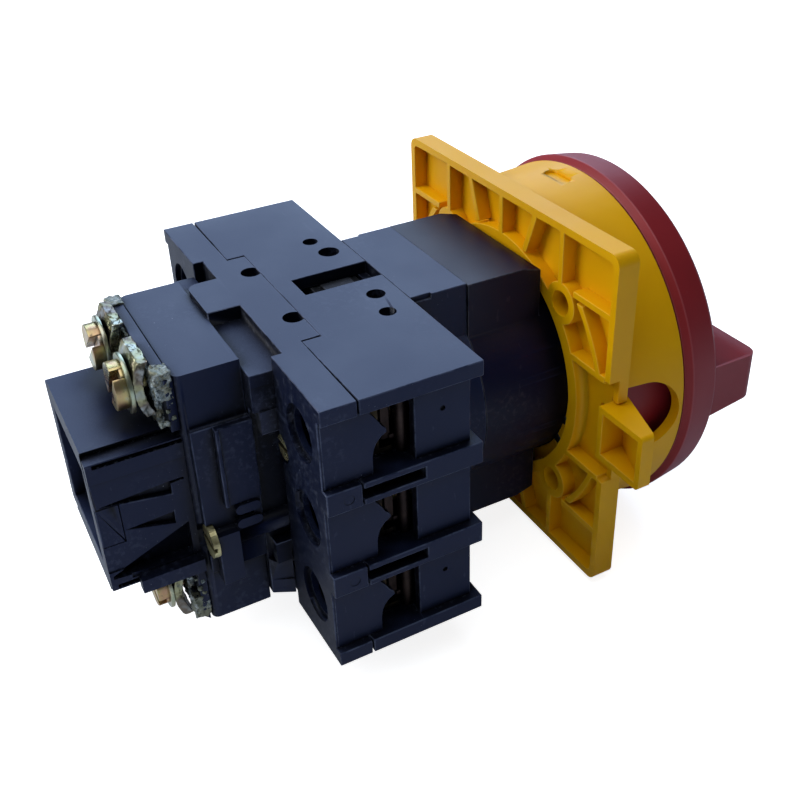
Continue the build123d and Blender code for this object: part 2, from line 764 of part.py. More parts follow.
# Contact housing: the front shell of the cross-shaped body, with six terminal chambers
with BuildPart() as contact_housing:
    block(both(tower_outer), (neck_end, tower_seam), both(body_half_height))
    block(both(core_half_width), (core_seam, tower_seam), both(body_half_height), Mode.SUBTRACT)
    block(both(cavity_half_width), (bearing_end, core_seam), both(cavity_half_height), Mode.SUBTRACT)
    post(journal_radius + running, (neck_end, bearing_end), mode=Mode.SUBTRACT)
    for side in (-1, 1):
        arm_slot = mirrored(side, arm_inner - slip, arm_outer + slip)
        block(both(yoke_half_width + slip), (neck_end, bearing_end), arm_slot, Mode.SUBTRACT)
    for side, z in pole_sides:
        bay_z = (z - bay_half_height, z + bay_half_height)
        # Recess between the flanges, round the tower's outer and front faces
        block(mirrored(side, bay_wall_x, tower_outer), (neck_end, tower_seam), bay_z, Mode.SUBTRACT)
        block(mirrored(side, core_half_width, tower_outer), (neck_end, neck_end + bay_depth), bay_z,
              Mode.SUBTRACT)
        # Chamber, wire window and the slot of the fixed contact
        block(mirrored(side, chamber_inner, chamber_outer), (chamber_front, tower_seam), bay_z,
              Mode.SUBTRACT)
        block(mirrored(side, chamber_inner, bay_wall_x), (window_front, window_rear), bay_z,
              Mode.SUBTRACT)
        block(mirrored(side, cavity_half_width, chamber_inner),
              (strip_front - running, strip_front + strip_thick + running),
              (z - strip_half_width - running, z + strip_half_width + running), Mode.SUBTRACT)
    for side in (-1, 1):
        for z in (-pole_pitch / 2, pole_pitch / 2):
            block(mirrored(side, tower_outer - flange_slot_depth, tower_outer),
                  (flange_slot_from, tower_seam), (z - flange_slot_height / 2, z + flange_slot_height / 2),
                  Mode.SUBTRACT)
    for side in (-1, 1):
        for end in (-1, 1):
            block(mirrored(side, core_half_width, core_half_width + seam_slit), (core_seam, tower_seam),
                  mirrored(end, body_half_height - seam_slit_depth, body_half_height), Mode.SUBTRACT)
    # Slot that shows the carrier's lug, and blind holes for stacking
    block(both(top_slot_half_width), (neck_end, top_slot_rear), (cavity_half_height, body_half_height),
          Mode.SUBTRACT)
    for x, inset, radius in stack_holes:
        with BuildSketch(Plane.XY.offset(body_half_height)):
            with Locations((x, neck_end + inset)):
                Circle(radius)
        extrude(amount=-stack_hole_depth, mode=Mode.SUBTRACT)
    post(body_screw_radius + running, (tower_seam - body_screw_reach, tower_seam), body_screws_at,
         Mode.SUBTRACT)
finish(contact_housing.part, "contact_housing", black)

# Rear housing: closes the towers and carries the platform of the auxiliary block
with BuildPart() as rear_housing:
    block(both(tower_outer), (tower_seam, tower_end), both(body_half_height))
    block(both(platform_half_width), (tower_seam, tower_end), both(body_half_height), Mode.SUBTRACT)
    block(both(platform_half_width), (tower_seam, core_end), both(body_half_height))
    block(both(core_half_width), (core_seam, tower_seam), both(body_half_height))
    # Platform, waisted beside the fixing screws, with its tongue
    block(both(platform_half_width), (core_end, platform_end), both(platform_half_height))
    block(both(platform_half_width), (core_end, platform_end), both(waist_half_height), Mode.SUBTRACT)
    block(both(platform_waist), (core_end, platform_end), both(waist_half_height))
    with BuildSketch(Plane.XY) as tongue:
        with Locations(((tongue_from + tongue_to) / 2, (core_end + platform_end) / 2)):
            Rectangle(tongue_to - tongue_from, platform_end - core_end)
        fillet(tongue.vertices().sort_by(Axis.Y)[-2:].sort_by(Axis.X)[-1], tongue_corner)
    extrude(amount=body_half_height, both=True)
    # Columns above and below the waist, the ledge line over them and the notch beside the tongue
    for side in (-1, 1):
        column_x = mirrored(side, platform_waist, platform_half_width)
        ledge_x = mirrored(side, platform_half_width - ledge_line_step, platform_half_width)
        for end in (-1, 1):
            column_z = mirrored(end, waist_half_height, column_half_height)
            block(column_x, (core_end, core_end + column_inset), column_z, Mode.SUBTRACT)
            block(column_x, (platform_end - column_inset, platform_end), column_z, Mode.SUBTRACT)
            block(ledge_x, (core_end, platform_end), mirrored(end, column_half_height, ledge_line_z),
                  Mode.SUBTRACT)
        block(mirrored(side, tongue_to, platform_half_width), (core_end, core_end + notch_length),
              mirrored(side, platform_half_height - notch_depth, platform_half_height), Mode.SUBTRACT)
    post(aux_sleeve_radius, (core_end, platform_end), aux_screws_at)
    for side, z in pole_sides:
        bay_z = (z - bay_half_height, z + bay_half_height)
        block(mirrored(side, bay_wall_x, tower_outer), (tower_seam, tower_end), bay_z, Mode.SUBTRACT)
        block(mirrored(side, chamber_inner, chamber_outer), (tower_seam, tower_end - rear_wall),
              bay_z, Mode.SUBTRACT)
    terminals_at = [(side * terminal_x, z) for side, z in pole_sides]
    post(driver_hole_radius, (tower_end - rear_wall, tower_end), terminals_at, Mode.SUBTRACT)
    post(driver_hole_mouth, (tower_end - rear_wall / 2, tower_end), terminals_at, Mode.SUBTRACT)
    block(both(cavity_half_width), (core_seam, core_end - rear_bearing_wall), both(cavity_half_height),
          Mode.SUBTRACT)
    block(both(stem_fit), (core_seam, platform_end), both(stem_fit), Mode.SUBTRACT)
    post(body_screw_radius + running, (tower_seam, tower_end), body_screws_at, Mode.SUBTRACT)
    post(body_screw_head + slip, (tower_end - body_screw_sink, tower_end), body_screws_at, Mode.SUBTRACT)
    post(aux_screw_shank + running, (platform_end - aux_screw_grip, platform_end), aux_screws_at,
         Mode.SUBTRACT)
    for x in seam_holes_x:
        with BuildSketch(Plane.XY.offset(body_half_height)):
            with Locations((x, seam_hole_y)):
                Circle(seam_hole_radius)
        extrude(amount=-stack_hole_depth, mode=Mode.SUBTRACT)
finish(rear_housing.part, "rear_housing", black)

screw_top = tower_end - body_screw_sink + body_screw_head_height
with BuildPart() as body_screws:
    post(body_screw_radius, (tower_seam - body_screw_reach, tower_end - body_screw_sink), body_screws_at)
    post(body_screw_head, (tower_end - body_screw_sink, screw_top), body_screws_at)
    for x, z in body_screws_at:
        block((x - body_screw_head, x + body_screw_head), (screw_top - slot_width, screw_top),
              (z - slot_width / 2, z + slot_width / 2), Mode.SUBTRACT)
finish(body_screws.part, "body_screws", zinc)

# Fixed contacts with their clamps, one for each end of each pole
for number, (side, z) in enumerate(pole_sides, 1):
    with BuildPart() as fixed_contact:
        block(mirrored(side, strip_inner, strip_outer), (strip_front, strip_front + strip_thick),
              (z - strip_half_width, z + strip_half_width))
        post(terminal_shank + running, (strip_front, strip_front + strip_thick), ((side * terminal_x, z),),
             Mode.SUBTRACT)
        post(tip_radius, (tip_face, strip_front), ((side * tip_x, z),))
    finish(fixed_contact.part, f"fixed_contact_{number}", copper)

    with BuildPart() as wire_clamp:
        clamp_x = (side * terminal_x - clamp_half_width, side * terminal_x + clamp_half_width)
        lip_z = strip_half_width + slip + clamp_lip
        block(clamp_x, (strip_front + slip, terminal_seat), (z - lip_z, z + lip_z))
        block(clamp_x, (strip_front + slip, clamp_front), (z - lip_z + clamp_lip, z + lip_z - clamp_lip),
              Mode.SUBTRACT)
        post(terminal_shank + running, (clamp_front, terminal_seat), ((side * terminal_x, z),), Mode.SUBTRACT)
    finish(wire_clamp.part, f"wire_clamp_{number}", zinc)

with BuildPart() as terminal_screws:
    post(terminal_shank, (terminal_seat - terminal_length, terminal_seat), terminals_at)
    post(terminal_head, (terminal_seat, terminal_seat + terminal_head_height), terminals_at)
    for x, z in terminals_at:
        block((x - terminal_head, x + terminal_head),
              (terminal_seat + terminal_head_height / 2, terminal_seat + terminal_head_height),
              (z - slot_width / 2, z + slot_width / 2), Mode.SUBTRACT)
finish(terminal_screws.part, "terminal_screws", zinc)

# Contact carrier: a windowed column with two follower arms, a lug in the top slot and a rear stem
with BuildPart() as contact_carrier:
    block(both(carrier_half_width), (carrier_front, carrier_rear), both(cavity_half_height - slip))
    for z in poles:
        block(both(carrier_half_width), (carrier_front + carrier_web, bridge_rear + touch_gap / 4),
              (z - bridge_half_width - slip, z + bridge_half_width + slip), Mode.SUBTRACT)
    for side in (-1, 1):
        block(both(yoke_half_width), (groove_start - arm_lead, carrier_front + carrier_web),
              mirrored(side, arm_inner, arm_outer))
        with BuildSketch(Plane.XY.offset(side * arm_inner)):
            with Locations((0, groove_start)):
                Circle(follower_radius)
        extrude(amount=-side * (slip + groove_depth - slip / 2))
    block(both(lug_half_width), (lug_front, lug_front + lug_length),
          (cavity_half_height - slip, body_half_height - slip))
    block(both(stem_half_width), (carrier_rear, stem_end), both(stem_half_width))
finish(contact_carrier.part, "contact_carrier", black)

for number, z in enumerate(poles, 1):
    with BuildPart() as bridge_contact:
        block(both(bridge_half_length), (bridge_front, bridge_rear),
              (z - bridge_half_width, z + bridge_half_width))
        post(tip_radius, (bridge_rear, bridge_tip_face), ((-tip_x, z), (tip_x, z)))
    finish(bridge_contact.part, f"bridge_contact_{number}", copper)

    with BuildPart() as contact_spring:
        spring_y = (carrier_front + carrier_web, bridge_front)
        post(spring_radius, spring_y, ((0, z),))
        post(spring_radius - spring_wall, spring_y, ((0, z),), Mode.SUBTRACT)
    finish(contact_spring.part, f"contact_spring_{number}", steel)

# Auxiliary block: a base with a waist, terminal seats above and below, and a cavity for the plunger
aux_terminals = [(x * aux_terminal_x, z) for z in (-1, 1) for x in (-1, 1)]
with BuildPart() as aux_base:
    with BuildSketch(Plane.XY) as outline:
        with Locations((0, (platform_end + aux_end) / 2)):
            Rectangle(2 * aux_half_width, aux_length)
        fillet(outline.vertices().group_by(Axis.Y)[-1], aux_corner)
    extrude(amount=aux_half_height, both=True)
    block(both(aux_waist_half_width), (platform_end, aux_waist_end), both(aux_waist_half_height))
    for side in (-1, 1):
        block(both(aux_seat_half_width), (aux_end, aux_plate_front),
              mirrored(side, cover_half_height + slip, aux_half_height - aux_seat_step))
    # Sleeves and ears of the fixing screws
    post(aux_sleeve_radius, (platform_end, aux_screw_seat), aux_screws_at)
    for side in (-1, 1):
        block(mirrored(side, aux_half_width, aux_ear_half_width), (aux_ear_front, aux_screw_seat),
              sorted(side * z for z in aux_ear_z))
    post(aux_screw_head + slip, (aux_screw_seat, aux_end), aux_screws_at, Mode.SUBTRACT)
    post(aux_screw_shank + running, (platform_end, aux_screw_seat), aux_screws_at, Mode.SUBTRACT)
    block(both(aux_cavity_half_width), (platform_end + aux_front_wall, aux_end), both(aux_cavity_half_height),
          Mode.SUBTRACT)
    block(both(stem_fit), (platform_end, aux_end), both(stem_fit), Mode.SUBTRACT)
    terminal_holes = [(x, side * aux_terminal_z) for x, side in aux_terminals]
    post(aux_shank + running, (aux_plate_front - aux_screw_length, aux_plate_front), terminal_holes,
         Mode.SUBTRACT)
finish(aux_base.part, "aux_base", black)

# Cover of the auxiliary block: stepped sides with grooves, tapering recesses and low flanges, open behind
with BuildPart() as aux_cover:
    block(both(cover_half_width), (aux_end, cover_end), both(cover_half_height - cover_step))
    block(both(cover_top_half_width), (aux_end, cover_end), both(cover_half_height))
    for side in (-1, 1):
        wall_x = mirrored(side, cover_half_width - cover_seam_step, cover_half_width)
        groove_x = mirrored(side, cover_half_width - cover_groove, cover_half_width)
        for end in (-1, 1):
            block(groove_x, (aux_end, cover_end - cover_groove_end),
                  mirrored(end, cover_groove_z, cover_groove_z + cover_groove), Mode.SUBTRACT)
        block(wall_x, (aux_end, cover_end), both(cover_seam_z), Mode.SUBTRACT)
        block(wall_x, (aux_end, cover_end - lip_length), (low_flange_z[1], -cover_seam_z), Mode.SUBTRACT)
        block(mirrored(side, cover_half_width - cover_seam_step, cover_half_width + low_flange_stand),
              (aux_end, aux_end + low_flange_length), low_flange_z)
        for outline, depth in ((high_wedge, wedge_depth), (low_wedge, wedge_depth), (hollow, hollow_depth)):
            with BuildSketch(Plane.YZ.offset(side * cover_half_width)):
                with BuildLine():
                    Polyline([(aux_end + y, z) for y, z in outline], close=True)
                make_face()
            extrude(amount=-side * (cover_seam_step + depth), mode=Mode.SUBTRACT)
    block(both(cover_mouth_half_width), (aux_end, cover_floor - cover_wall),
          both(cover_half_height - cover_step - cover_wall), Mode.SUBTRACT)
    block(both(cover_mouth_half_width), (cover_floor, cover_end), both(cover_mouth_half_height),
          Mode.SUBTRACT)
    for x in (-aux_terminal_x, aux_terminal_x):
        block((x - aux_strip_half_width - running, x + aux_strip_half_width + running),
              (aux_end, aux_plate_rear + running), both(cover_half_height), Mode.SUBTRACT)
finish(aux_cover.part, "aux_cover", black)

# Auxiliary contacts: a terminal plate with a strip that reaches in over the bridge
for number, (x, side) in enumerate(aux_terminals, 1):
    with BuildPart() as aux_contact:
        block((x - aux_plate_half_width, x + aux_plate_half_width), (aux_plate_front, aux_plate_rear),
              mirrored(side, cover_half_height + slip, aux_plate_outer))
        block((x - aux_strip_half_width, x + aux_strip_half_width), (aux_plate_front, aux_plate_rear),
              mirrored(side, aux_bridge_z - aux_tip_radius, aux_terminal_z))
        post(aux_shank + running, (aux_plate_front, aux_plate_rear), ((x, side * aux_terminal_z),),
             Mode.SUBTRACT)
        post(aux_tip_radius, (aux_tip_face, aux_plate_front), ((x, side * aux_bridge_z),))
    finish(aux_contact.part, f"aux_contact_{number}", copper)

    # Saddle plate, bowed towards the screw's head
    with BuildPart() as aux_saddle:
        foot_z = side * (aux_terminal_z - saddle_reach)
        middle_z = side * aux_terminal_z
        tip_z = side * (aux_terminal_z + saddle_reach)
        with BuildSketch(Plane.YZ.offset(x - saddle_half_width)):
            with BuildLine():
                lower = ThreePointArc((saddle_foot, foot_z), (saddle_foot + saddle_bow, middle_z),
                                      (saddle_foot, tip_z))
                upper = ThreePointArc((saddle_foot + saddle_thick, foot_z), (saddle_rear, middle_z),
                                      (saddle_foot + saddle_thick, tip_z))
                Line(lower @ 0, upper @ 0)
                Line(lower @ 1, upper @ 1)
            make_face()
        extrude(amount=2 * saddle_half_width)
        post(aux_shank + running, (aux_plate_rear, saddle_rear), ((x, side * aux_terminal_z),), Mode.SUBTRACT)
    finish(aux_saddle.part, f"aux_saddle_{number}", zinc)

with BuildPart() as aux_washers:
    post(washer_radius, (saddle_rear, washer_rear), terminal_holes)
    post(aux_shank + running, (saddle_rear, washer_rear), terminal_holes, Mode.SUBTRACT)
finish(aux_washers.part, "aux_washers", zinc)

with BuildPart() as aux_terminal_screws:
    post(aux_shank, (aux_plate_front - aux_screw_length + slip, washer_rear), terminal_holes)
    post(aux_head_radius, (washer_rear, washer_rear + aux_head_height), terminal_holes)
    for x, z in terminal_holes:
        block((x - aux_head_radius, x + aux_head_radius), (washer_rear + aux_head_height / 2,
              washer_rear + aux_head_height), (z - slot_width / 2, z + slot_width / 2), Mode.SUBTRACT)
finish(aux_terminal_screws.part, "aux_terminal_screws", zinc)

aux_screw_top = aux_screw_seat + aux_screw_head_height
with BuildPart() as aux_fixing_screws:
    post(aux_screw_shank, (platform_end - aux_screw_grip, aux_screw_seat), aux_screws_at)
    post(aux_screw_head, (aux_screw_seat, aux_screw_top), aux_screws_at)
    for x, z in aux_screws_at:
        block((x - aux_screw_head, x + aux_screw_head), (aux_screw_top - slot_width, aux_screw_top),
              (z - slot_width / 2, z + slot_width / 2), Mode.SUBTRACT)
finish(aux_fixing_screws.part, "aux_fixing_screws", zinc)

# Plunger that the carrier pushes, with the two auxiliary bridges
with BuildPart() as aux_plunger:
    block(both(stem_half_width), (stem_end + stem_gap, plunger_front), both(stem_half_width))
    block(both(plunger_half_width), (plunger_front, aux_bridge_rear + carrier_web), both(plunger_half_height))
    for side in (-1, 1):
        z = side * aux_bridge_z
        block(both(plunger_half_width), (plunger_front + carrier_web, aux_bridge_rear + touch_gap / 4),
              (z - aux_bridge_half_width - slip, z + aux_bridge_half_width + slip), Mode.SUBTRACT)
    block(both(stem_half_width), (aux_bridge_rear + carrier_web, plunger_end), both(stem_half_width))
finish(aux_plunger.part, "aux_plunger", black)

for number, side in enumerate((-1, 1), 1):
    z = side * aux_bridge_z
    with BuildPart() as aux_bridge:
        block(both(aux_bridge_half_length), (aux_bridge_front, aux_bridge_rear),
              (z - aux_bridge_half_width, z + aux_bridge_half_width))
        tips = ((-aux_terminal_x, z), (aux_terminal_x, z))
        post(aux_tip_radius, (aux_bridge_rear, aux_bridge_tip_face), tips)
    finish(aux_bridge.part, f"aux_bridge_{number}", copper)

    with BuildPart() as aux_spring:
        spring_y = (plunger_front + carrier_web, aux_bridge_front)
        post(aux_spring_radius, spring_y, ((0, z),))
        post(aux_spring_radius - spring_wall, spring_y, ((0, z),), Mode.SUBTRACT)
    finish(aux_spring.part, f"aux_spring_{number}", steel)

# Side latches that hold the auxiliary block, each turned half a turn about the shaft from the other
for name, side in (("side_latch_near", -1), ("side_latch_far", 1)):
    with BuildPart() as side_latch:
        outer_x = side * (aux_waist_half_width + latch_thick)
        x_range = sorted((side * aux_waist_half_width, outer_x))
        block(x_range, (platform_end, latch_rear), mirrored(-side, latch_foot, latch_top))
        block(x_range, (latch_front, latch_front + latch_thick), mirrored(-side, latch_rib_z[-1], latch_foot))
        # Raised rear edge
        block(sorted((outer_x, outer_x + side * latch_edge_stand)), (latch_rear - latch_edge, latch_rear),
              mirrored(-side, latch_foot, latch_top))
        # Hook ribs with round ends
        with BuildSketch(Plane.YZ.offset(side * aux_waist_half_width)):
            for z in latch_rib_z:
                with Locations(((latch_front + latch_rib_rear) / 2, -side * z)):
                    SlotOverall(latch_rib_rear - latch_front, latch_rib_height)
        extrude(amount=side * latch_thick)
    finish(side_latch.part, name, black)
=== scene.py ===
"""Looks of the rotary main switch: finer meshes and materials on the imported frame, and a small studio."""
import json
import math

import bmesh
import bpy
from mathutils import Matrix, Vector, noise
from mathutils.geometry import intersect_line_line_2d, intersect_point_line


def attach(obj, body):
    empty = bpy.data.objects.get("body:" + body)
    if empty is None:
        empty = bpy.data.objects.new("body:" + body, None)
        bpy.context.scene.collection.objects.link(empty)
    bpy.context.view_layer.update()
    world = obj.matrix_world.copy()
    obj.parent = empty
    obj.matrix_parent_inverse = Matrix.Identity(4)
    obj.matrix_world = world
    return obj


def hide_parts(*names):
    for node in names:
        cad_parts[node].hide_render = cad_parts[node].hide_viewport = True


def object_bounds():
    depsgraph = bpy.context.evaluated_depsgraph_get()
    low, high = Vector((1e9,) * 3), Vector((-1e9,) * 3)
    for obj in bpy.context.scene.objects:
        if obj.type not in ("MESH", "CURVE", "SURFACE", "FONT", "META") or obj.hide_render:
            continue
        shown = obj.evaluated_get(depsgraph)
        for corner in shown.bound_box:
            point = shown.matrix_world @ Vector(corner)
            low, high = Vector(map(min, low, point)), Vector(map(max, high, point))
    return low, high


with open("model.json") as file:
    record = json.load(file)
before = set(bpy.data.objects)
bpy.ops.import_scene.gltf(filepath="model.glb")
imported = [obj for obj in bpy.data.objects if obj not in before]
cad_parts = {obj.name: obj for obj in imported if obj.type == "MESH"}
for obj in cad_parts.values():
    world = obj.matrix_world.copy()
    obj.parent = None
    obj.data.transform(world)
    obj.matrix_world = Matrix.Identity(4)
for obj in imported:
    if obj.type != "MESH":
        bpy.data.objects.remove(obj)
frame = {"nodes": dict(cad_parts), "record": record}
cad_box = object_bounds()
nodes = frame["nodes"]
slots = {entry["node"]: entry["material_slot"] for entry in frame["record"]["subparts"]}
body_of = {node: body for body, group in frame["record"]["behaviour"]["bodies"].items() for node in group}

MM = 0.001

# Widths of the rounded edges, in millimetres
PLASTIC_ROUND = 0.16
METAL_ROUND = 0.12
ROUND_SEGMENTS = 2

# What an edge needs to be rounded, in widths of the rounding
EDGE_LENGTH = 1.5
FACE_BREADTH = 2.2
FOLD_CLEARANCE = 2.5
ROUND_TRIES = 6

# Turns between faces: on flat faces, within a hole's wall and at sharp edges
FLAT_ANGLE = math.radians(0.4)
FACET_ANGLE = 0.05
SHARP_ANGLE = math.radians(32)

# Broadest facet of a small hole and distance for welding vertices, in millimetres
FACET_BREADTH = 0.9
WELD = 0.0005

# Heights of the three poles; these and the sizes below are in millimetres
POLES = (-14.4, 0.0, 14.4)

# Barrel's hump and contact carrier's lug
HUMP_FROM = 19.5
HUMP_LIFT = 0.55
LUG_FROM = 21.0
LUG_SINK = 1.5

# Gape of the joint between the front and rear shells
SHELL_SEAM = 42.0
SEAM_REACH = 0.2
SEAM_FROM = 31.3
SEAM_GAPE = 0.28

# Walls that lap over the seam, with broken nibs, as Y and height above the pole
NIB_X = 30.9
NIB_THICK = 1.4
NIB_OUTLINE = (
    (46.9, 5.35), (39.7, 5.35), (39.7, 4.3), (38.8, 3.1), (38.2, 2.0), (37.5, 1.3), (37.4, 0.7),
    (38.3, 0.2), (39.1, -0.7), (39.6, -1.9), (39.7, -2.6), (39.7, -5.35), (46.9, -5.35),
)

# Round pits in the outer sides of the shells
DIMPLES = ((30.8, 28.95, 15.8), (30.8, 28.95, -12.95))
DIMPLE_RADIUS = 0.42
DIMPLE_DEPTH = 0.35
EJECTOR_MARKS = ((32.1, 44.0, 7.2), (32.1, 44.0, -7.2))
EJECTOR_RADIUS = 0.8
EJECTOR_DEPTH = 0.07
PIT_SIDES = 20
PIT_CLEARANCE = 0.5

# Lower columns of the rear shell, and the webs that join them to the towers
COLUMN_FROM = (15.9, 50.4, -8.5)
COLUMN_REAR_X = 14.7
COLUMN_FRONT = 46.0
COLUMN_WITHIN = 17.0
COLUMN_FOOT = -19.5
COLUMN_DROP = 0.8
FOOT_WEB = ((14.0, 18.4), (45.4, 47.0), (-21.0, -16.5))

# Auxiliary base and the heads of its fixing screws
LEDGE = ((-12.6, 12.6), (60.3, 61.9), (17.9, 21.7))
BASE_DROP_FROM = -21.0
BASE_DROP = 1.4
FIXING_SEAT = 58.2
FIXING_SQUASH = 0.6

# Auxiliary cover's upper step, and the lines round its latch as limits in Y and in Z
COVER_STEP = (10.7, 11.2)
COVER_REACH = 0.05
COVER_UNDERCUT = 1.0
COVER_WALL = 12.25
LATCH_LINES = (
    ((70.1, 73.6), (3.25, 3.4)),
    ((70.1, 73.6), (-3.4, -3.25)),
    ((70.1, 70.25), (-3.4, 3.4)),
)
LATCH_LINE_DEPTH = 0.4
LATCH_LINE_CLEARANCE = 1.0

# Hook ribs of the side latches
RIB_HEIGHTS = (-1.75, -4.3)
RIB_WIDTH = 1.6
RIB_Y = (51.0, 54.9)
RIB_X = 15.3
RIB_STAND = 0.75
RIB_STEPS = 8

# Upright rods of the fixed contacts
STRIP_END = 27.2
ROD_AT = (27.8, 33.9)
ROD_RADIUS = 0.85
ROD_HALF_HEIGHT = 5.3
ROD_SIDES = 16
ROD_WEB = ((26.9, 27.5), (33.9, 35.5), (-3.4, -2.6))

# Saddles of the auxiliary terminals
TERMINAL_NODE_Z = 17.4
SADDLE_Z = 18.6
SADDLE_SHIFT = -0.3
SADDLE_STRETCH = 1.09

# Slotted screws and washers of the auxiliary terminals, with the slots' angles in degrees
TERMINAL_X = 6.1
TERMINAL_Z = 18.2
SLOT_ANGLES = {(-1, 1): -55, (1, 1): -40, (-1, -1): 25, (1, -1): 70}
WASHER_REAR = 65.3
WASHER_THICK = 0.6
WASHER_RADIUS = 4.4
HEAD_RADIUS = 3.5
HEAD_HEIGHTS = (0.6, 1.8)
HEAD_SINK = 0.1
HEAD_SLOT = 1.4
HEAD_STEPS = 24
SLOT_STEPS = 4
SHANK_RADIUS = 1.75
SHANK_FRONT = 55.0
DISC_SIDES = 48

# Crust on the terminal plates, and the crumbs beside it
CRUST_X = (9.9, 12.9)
CRUST_Y = (60.1, 62.4)
CRUST_Z = (17.9, 22.0)
CRUST_FROM = 13.5
CRUMB = 0.55
CRUMBS = (
    (12.3, 60.4, 16.9), (12.6, 61.0, 15.8), (12.2, 61.9, 13.6),
    (12.6, 61.4, 13.9), (11.6, 62.0, 13.3), (12.5, 60.3, 14.6),
)

# Corroded surfaces: size and depth of the lumps, where they start, and the mesh that carries them
SADDLE_LUMPS = (1.3, 0.16)
CRUST_LUMPS = (0.7, 0.30, CRUST_FROM)
LUMP_EDGE = 0.28
LUMP_ROUNDS = 6
LUMP_FALLOFF = 0.9
LUMP_LACUNARITY = 2.0
LUMP_OCTAVES = 4


# Colours

def srgb(red, green, blue):
    """Linear colour with alpha from screen values of 0 to 255."""
    def linear(value):
        value /= 255
        return value / 12.92 if value <= 0.04045 else ((value + 0.055) / 1.055) ** 2.4
    return (linear(red), linear(green), linear(blue), 1)


def dimmed(colour, share):
    """This share of a colour."""
    return tuple(share * value for value in colour[:3]) + (1,)


AMBER = srgb(241, 180, 0)
AMBER_CLOUD = srgb(234, 172, 0)
# Painted shade for the corners of the amber moulding
AMBER_PAINTED_SHADE = srgb(200, 128, 0)
AMBER_EDGE = srgb(245, 196, 84)
AMBER_GRIME = srgb(96, 62, 20)
AMBER_SPECK = srgb(92, 64, 30)
CRIMSON = srgb(148, 34, 40)
CRIMSON_CLOUD = srgb(136, 30, 36)
CRIMSON_EDGE = srgb(180, 100, 106)
CRIMSON_BLOOM = srgb(190, 160, 160)
ZINC_STAIN = srgb(62, 52, 40)
# Painted shade for the corners of zinc parts
ZINC_PAINTED_SHADE = srgb(30, 27, 24)
CORRODED_METAL = ((0.3, srgb(112, 118, 104)), (0.5, srgb(134, 134, 116)), (0.7, srgb(104, 90, 66)))
CORRODED_SALTS = ((0.35, srgb(84, 98, 104)), (0.52, srgb(158, 172, 176)), (0.68, srgb(226, 230, 230)))
CORRODED_PIT = srgb(26, 28, 30)
# Painted shade for the corners of the corroded terminal metal
CORRODED_PAINTED_SHADE = srgb(26, 27, 26)


# Node helpers

